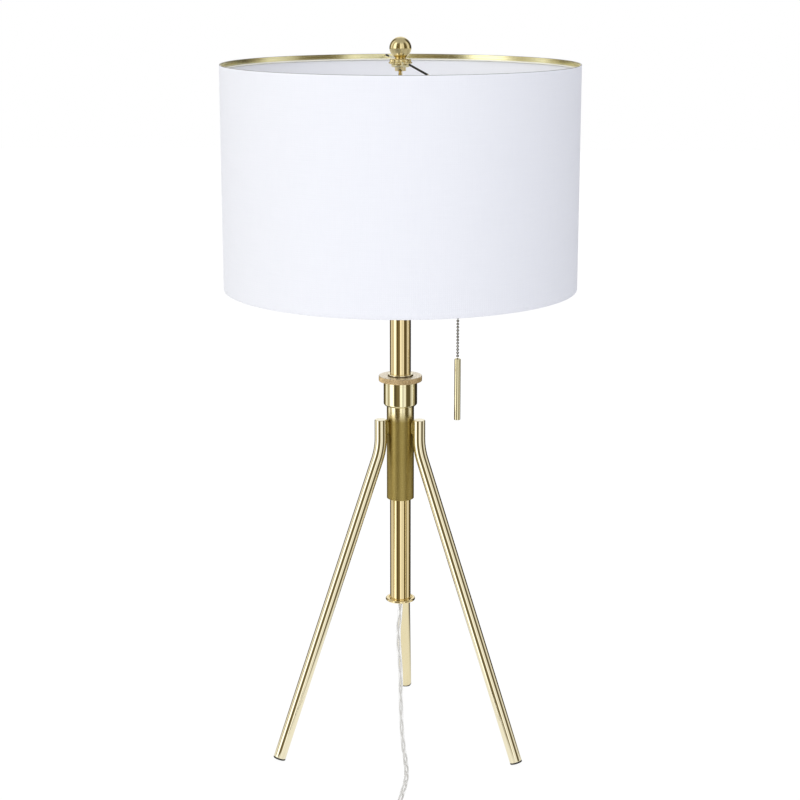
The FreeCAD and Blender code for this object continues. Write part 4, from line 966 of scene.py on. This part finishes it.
def makeShade():
    s = shadeSizes
    radius, high, low = s["radius"], s["high"], s["low"]
    inner, lip = radius - s["wall"], s["wall"] / 2
    walls = np.linspace(low, high, 45)
    outline = [(radius, z) for z in walls[1:-1]] + arcOf((radius - lip, high - lip), lip, 0, 180, 8)
    outline += [(inner, z) for z in walls[-2:0:-1]] + arcOf((radius - lip, low + lip), lip, 180, 360, 8)
    spin("shade", outline, 256, "shade", "white_linen", "whiteLinen", "shade_drum")
    # a thin dark line along the rim's top edge: painted shade
    hoop("rimSeam", radius - lip, high + 0.03, s["seam"], 8, "shade", "white_linen", "rimSeam")
    # the band leans a little outwards to its top; cream tape edges it as a painted highlight, over a thin
    # dark line of painted shade
    foot = high - s["bandTall"]
    outline = [(inner - s["bandFoot"], foot, 0.15), (inner, foot, 0.1), (inner, high, 0.1),
               (inner - s["bandTop"], high, 0.15)]
    spin("topBand", rounded(outline, 3), 256, "shade", "brass_polished", "bandBrass", "top_band")
    # the tape's cream colour is a painted highlight
    hoop("bandHighlightTape", inner - 0.75, foot - s["tapeDrop"], s["tape"], 12, "shade", "white_linen", "creamTape")
    hoop("bandShadeLine", inner - 0.2, foot - s["shadeLineDrop"], s["seam"], 8, "shade", "white_linen", "rimSeam")
    wire = s["bottomWire"]
    hoop("hemWire", inner - wire, low + wire + s["hemRise"], wire, 12, "shade", "steel_wire", "steelPlate",
         "bottom_ring")
    # the spider's ring shows as a flat strip on the band
    bottom = high - s["stripDrop"] - s["stripTall"] / 2
    top = bottom + s["stripTall"]
    outline = [(inner - 1.32, bottom, 0.3), (inner - 0.6, bottom), (inner - 0.4, top),
               (inner - 1.02, top, 0.3)]
    spin("spiderRing", rounded(outline), 256, "shade", "steel_wire", "bandBrass", "spider")


def makeSpider():
    # Each arm rises from the hub, runs out over the finial's foot and comes down to the band.
    s = spiderSizes
    hubTop = s["hubLow"] + s["hubThick"]
    hubZ = s["hubLow"] + s["hubThick"] / 2
    reach = shadeSizes["radius"] - shadeSizes["wall"]
    for name, (azimuth, high, darkFrom, darkTo) in s["arms"].items():
        a = math.radians(azimuth)
        out = np.array([math.cos(a), math.sin(a), 0])
        run = [(s["hubRadius"] - 2.0, hubZ), (9.5, hubZ), (12.0, hubZ + 0.3), (14.2, 709.8), (16.5, high),
               (20.0, high)]
        run += [(r, high + (s["armEnd"] - high) * (r - 20) / (reach - 20))
                for r in (40, 60, 80, 100, 120, 140, 160, reach - 0.8)]
        controls = [(out * r + [0, 0, z]) * mm for r, z in run]
        line = evenly(splinePoints("armLine", controls, 16), s["step"] * mm)
        away = np.hypot(line[:, 0], line[:, 1]) / mm
        first, last = np.searchsorted(away, darkFrom), np.searchsorted(away, darkTo)
        # the twisted wire swells and thins with each turn
        turn = 2 * np.pi * s["step"] / s["twistPitch"]
        thick = s["wire"] + s["twist"] * np.sin(turn * np.arange(len(line)))
        for part, span, size, look in (("Arm", slice(first, last), thick, "darkWire"),
                                       ("Root", slice(0, first + 1), s["endWire"], "collarBrass"),
                                       ("Clip", slice(last - 1, len(line)), s["endWire"], "collarBrass")):
            size = np.broadcast_to(size, len(line))[span] * mm
            rows, radii = cappedEnds(line[span], size, s["edge"] * mm)
            pipe("spider" + part + name, rows, radii, 14, "shade", "steel_wire", look)
    spin("spiderHub", wallOf(s["studHole"], s["hubRadius"], s["hubLow"], hubTop, 0.2, 0.6, 0.6, 0.2), 64,
         "shade", "steel_wire", "collarBrass")


finialSizes = {"low": 707.6, "rimRadius": 11.2, "rimTall": 2.2, "cupRadius": 10.1, "cupTall": 2.8,
               "neckRadius": 5.5, "neckTall": 1.4, "ballRadius": 10.8, "bore": 3.0, "boreTop": 715.85,
               "petals": 14, "petalDeep": 0.45}


def makeFinial():
    s = finialSizes
    low, rim, cup = s["low"], s["rimRadius"], s["cupRadius"]
    neck, ball = s["neckRadius"], s["ballRadius"]
    rimTop = low + s["rimTall"]
    cupTop = rimTop + s["cupTall"]
    neckTop = cupTop + s["neckTall"]
    centre = neckTop + math.sqrt(ball ** 2 - neck ** 2)
    edge = s["rimTall"] / 2
    outline = [(0.0, s["boreTop"]), (s["bore"], s["boreTop"]), (s["bore"], low)]
    outline += [(rim - edge - 1, low), *arcOf((rim - edge, low + edge), edge, -90, 90, 10)]
    outline += [*bow([cup, rimTop], [cup + 1.0, cupTop + 0.9], [neck, cupTop + 0.5], 10)]
    outline += [(neck - 0.15, cupTop + 0.65), (neck - 0.15, neckTop - 0.2)]
    outline += arcOf((0, centre), ball, -math.degrees(math.acos(neck / ball)), 90, 40)[:-1]
    outline.append((0.0, centre + ball))

    def flute(a, r, z):
        # petals round the skirt, fading out at its upper and lower edge
        fade = np.clip(np.minimum(z / mm - low - 0.2, cupTop + 0.5 - z / mm) / 0.8, 0, 1) * (r > neck * mm)
        return s["petalDeep"] * mm * fade * np.cos(s["petals"] * a)

    spin("finialBall", outline, 240, "finial", "brass_aged", "finialBrass", "finial", closed=False,
         wave=flute)


makeShade()
makeSpider()
makeFinial()
print("shade and finial ready")


# the bends are (y, height over the foot); the first keeps the wire straight as far as the ferrules slide
harpSizes = {"wire": 1.6, "edge": 0.4, "footY": 24.0, "footZ": 491.0, "topY": 10.5, "topZ": 701.15,
             "step": 2.0, "bends": [(24, 24), (24, 34), (48, 78), (52, 118), (44, 160), (24, 193)]}


def makeHarp():
    s = harpSizes
    half = [(s["footY"], s["footZ"]), *((y, s["footZ"] + up) for y, up in s["bends"]), (s["topY"], s["topZ"])]
    route = np.array([(0, y, z) for y, z in half] + [(0, -y, z) for y, z in reversed(half)], float) * mm
    line = evenly(splinePoints("harpLine", route, 24), s["step"] * mm)
    rows, radii = cappedEnds(line, s["wire"] * mm, s["edge"] * mm)
    pipe("harp", rows, radii, 24, "pole", "brass_satin", "satinBrass", "harp_wire")


socketSizes = {"z": 494.0, "nipple": 4.9, "hub": 8.0, "hubTall": 3.0, "capRadius": 17.4, "capTall": 18.0,
               "wall": 0.8, "knee": 8.0}


def makeSocket():
    # The cap's shoulder is a quarter curve from the hub out to the wall.
    s = socketSizes
    z, r, hub, inside = s["z"], s["capRadius"], s["hub"], s["capRadius"] - s["wall"]
    top, kneeZ = z + s["capTall"], z + s["knee"]
    outline = [(s["nipple"], z), (hub - 0.3, z), (hub, z + 0.3), (hub, z + 1.7)]
    outline += [*bow([hub, z + 2.0], [r, z + 1.4], [r, kneeZ], 14)]
    outline += [(r, top - 0.6), (r + 0.35, top - 0.3), (r + 0.2, top), (inside, top)]
    outline += [*bow([inside, kneeZ], [inside, z + 2.4], [hub, z + s["hubTall"]], 14)]
    outline += [(s["nipple"], z + s["hubTall"])]
    spin("socketCap", outline, 96, "pole", "brass_satin", "satinBrass", "socket_cap")


bulbSizes = {"z": 526.2, "tipRadius": 4.5, "tipTall": 3.5, "baseRadius": 13.1, "baseTall": 22.0, "neck": 13.6,
             "radius": 30.0, "tall": 84.0, "threads": 7, "threadDeep": 0.45, "joinAngle": 38.0}


def makeBulb():
    s = bulbSizes
    z, tip, base, neck = s["z"], s["tipRadius"], s["baseRadius"], s["neck"]
    low = z + s["tipTall"]
    top = low + s["baseTall"]
    t = np.linspace(0, 1, 60)
    rolled = base - s["threadDeep"] * (0.5 - 0.5 * np.cos(2 * np.pi * s["threads"] * t))
    outline = [(0.0, z), (tip - 1.5, z), (tip - 0.3, z + 0.7), (tip, z + 1.1), (base - 2.5, low),
               (base - 0.4, low + 1.2), *zip(rolled, np.linspace(low + 2.5, top - 3.0, 60)),
               (base, top - 1.5), (base - 0.2, top), (0.0, top)]
    spin("bulbBase", outline, 96, "pole", "shell_aluminium", "thinAluminium", "bulb_base", closed=False)
    centre = top + s["tall"] - s["radius"]
    globe = arcOf((0, centre), s["radius"], -s["joinAngle"], 90, 40)
    outline = [(0.0, top), (neck - 0.4, top), (neck, top + 0.5)]
    outline += [*bow([neck, top + 5], [neck + 0.6, top + 17], globe[0], 20), *globe[1:-1]]
    outline += [(0.0, centre + s["radius"])]
    spin("bulbGlass", outline, 96, "pole", "frosted_glass", "frostedGlass", "bulb_glass", closed=False)


chainSizes = {"x": 58.3, "top": 510.35, "pitch": 3.3, "bead": 1.4, "link": 0.36, "inside": 5, "all": 30,
              "crown": 0.93, "lastShort": 0.3}
pendantSizes = {"radius": 3.25, "top": 412.6, "long": 64.8, "point": 0.45, "pointTall": 1.1}
armSizes = {"tube": 2.8, "z": 520.0, "startX": 14.0, "bend": 6.5, "mouthZ": 495.5, "mouth": 4.3,
            "mouthTall": 3.0, "mouthWall": 0.6, "bore": 1.9}


def makeBeads(name, first, last, body):
    # One outline down the chain: r swells to the bead as a half circle and falls to the link between.
    s = chainSizes
    outline = [(0.0, s["top"] - first * s["pitch"] + s["bead"] * s["crown"])]
    low = math.degrees(math.acos(s["link"] / s["bead"]))
    for i in range(first, last):
        outline += arcOf((0, s["top"] - i * s["pitch"]), s["bead"], low, -low, 10)
    end = s["top"] - (last - 0.5) * s["pitch"] + s["lastShort"]
    outline += [(s["link"], end), (0.0, end)]
    spin(name, outline, 20, body, "nickel", "beadSteel", body, closed=False, centre=(s["x"], 0))


def makeChain():
    s, p = chainSizes, pendantSizes
    makeBeads("beadsInArm", 0, s["inside"], "chain_upper")
    makeBeads("beadsBelow", s["inside"], s["all"], "chain_lower")
    low = p["top"] - p["long"]
    outline = [(0.0, low), (p["radius"], low, 0.6), (p["radius"], p["top"] - p["pointTall"], 0.4),
               (p["point"], p["top"]), (0.0, p["top"])]
    spin("pendantBar", rounded(outline, 5, closed=False), 64, "pendant", "brass_satin", "collarBrass",
         "pendant", closed=False, centre=(s["x"], 0))


def makeChainArm():
    # A level tube that bends down to a bell mouth, and back up inside as the bore that the beads run in.
    # Its rings stand square to the centreline, which turns from level to upright only.
    a = armSizes
    x, z, mouthZ = chainSizes["x"], a["z"], a["mouthZ"]
    bendX, bendZ, mouthTop = x - a["bend"], z - a["bend"], mouthZ + a["mouthTall"]
    open = np.linspace(0, 1, 9)[1:]
    path = [(v, 0, z) for v in np.linspace(a["startX"], bendX, 12)[:-1]]
    path += [(bendX + a["bend"] * math.sin(t), 0, z - a["bend"] * (1 - math.cos(t)))
             for t in np.linspace(0, np.pi / 2, 17)]
    path += [(x, 0, v) for v in np.linspace(bendZ, mouthTop, 8)[1:]]
    radii = [0.0] + [a["tube"]] * len(path) + list(a["tube"] + (a["mouth"] - a["tube"]) * open ** 2)
    path += [(x, 0, mouthZ + a["mouthTall"] * (1 - v)) for v in open]
    path = path[:1] + path + [(x, 0, v) for v in (mouthZ, mouthZ + 1.2, mouthTop, bendZ - 0.4, bendZ - 0.2)]
    radii += [a["mouth"] - a["mouthWall"], a["mouth"] - 1.6, a["bore"], a["bore"], 0.0]
    path, radii = np.array(path, float) * mm, np.array(radii) * mm
    turn = np.arcsin(np.clip((path[:, 0] / mm - bendX) / a["bend"], 0, 1))
    across = np.stack([np.sin(turn), 0 * turn, np.cos(turn)], -1)
    sideways = np.tile([0.0, 1, 0], (len(path), 1))
    points = ringsAlong(path, across, sideways, radii, 32)
    closeEnds(finishMesh("chainArm", points, gridFaces(len(path), 32, False), None, "pole", "brass_satin",
                         "satinBrass", "chain_arm"))


makeHarp()
makeSocket()
makeBulb()
makeChain()
makeChainArm()
print("harp, socket, bulb and chain ready")


# nodes whose own shape stays, by the look they get
keptLooks = {
    "satinBrass": ("pole_plug", "harp_saddle", "harp_stud", "ferrule_front", "ferrule_rear", "socket_shell"),
    "blackPlastic": ("cord_bushing", "switch_housing"), "steelPlate": ("nipple", "jam_nut"),
    "whiteNylon": ("guide_bush",), "fibreLiner": ("socket_liner",), "thinAluminium": ("screw_shell",),
    "polishedBrass": ("contact",), "wireSheath": ("lead_wires",), "clearSheath": ("plug_body",),
    "nickel": ("plug_blades",),
}
for look, names in keptLooks.items():
    for name in names:
        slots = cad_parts[name].data.materials
        slots.clear()
        slots.append(looks[look])
print("kept pieces finished")
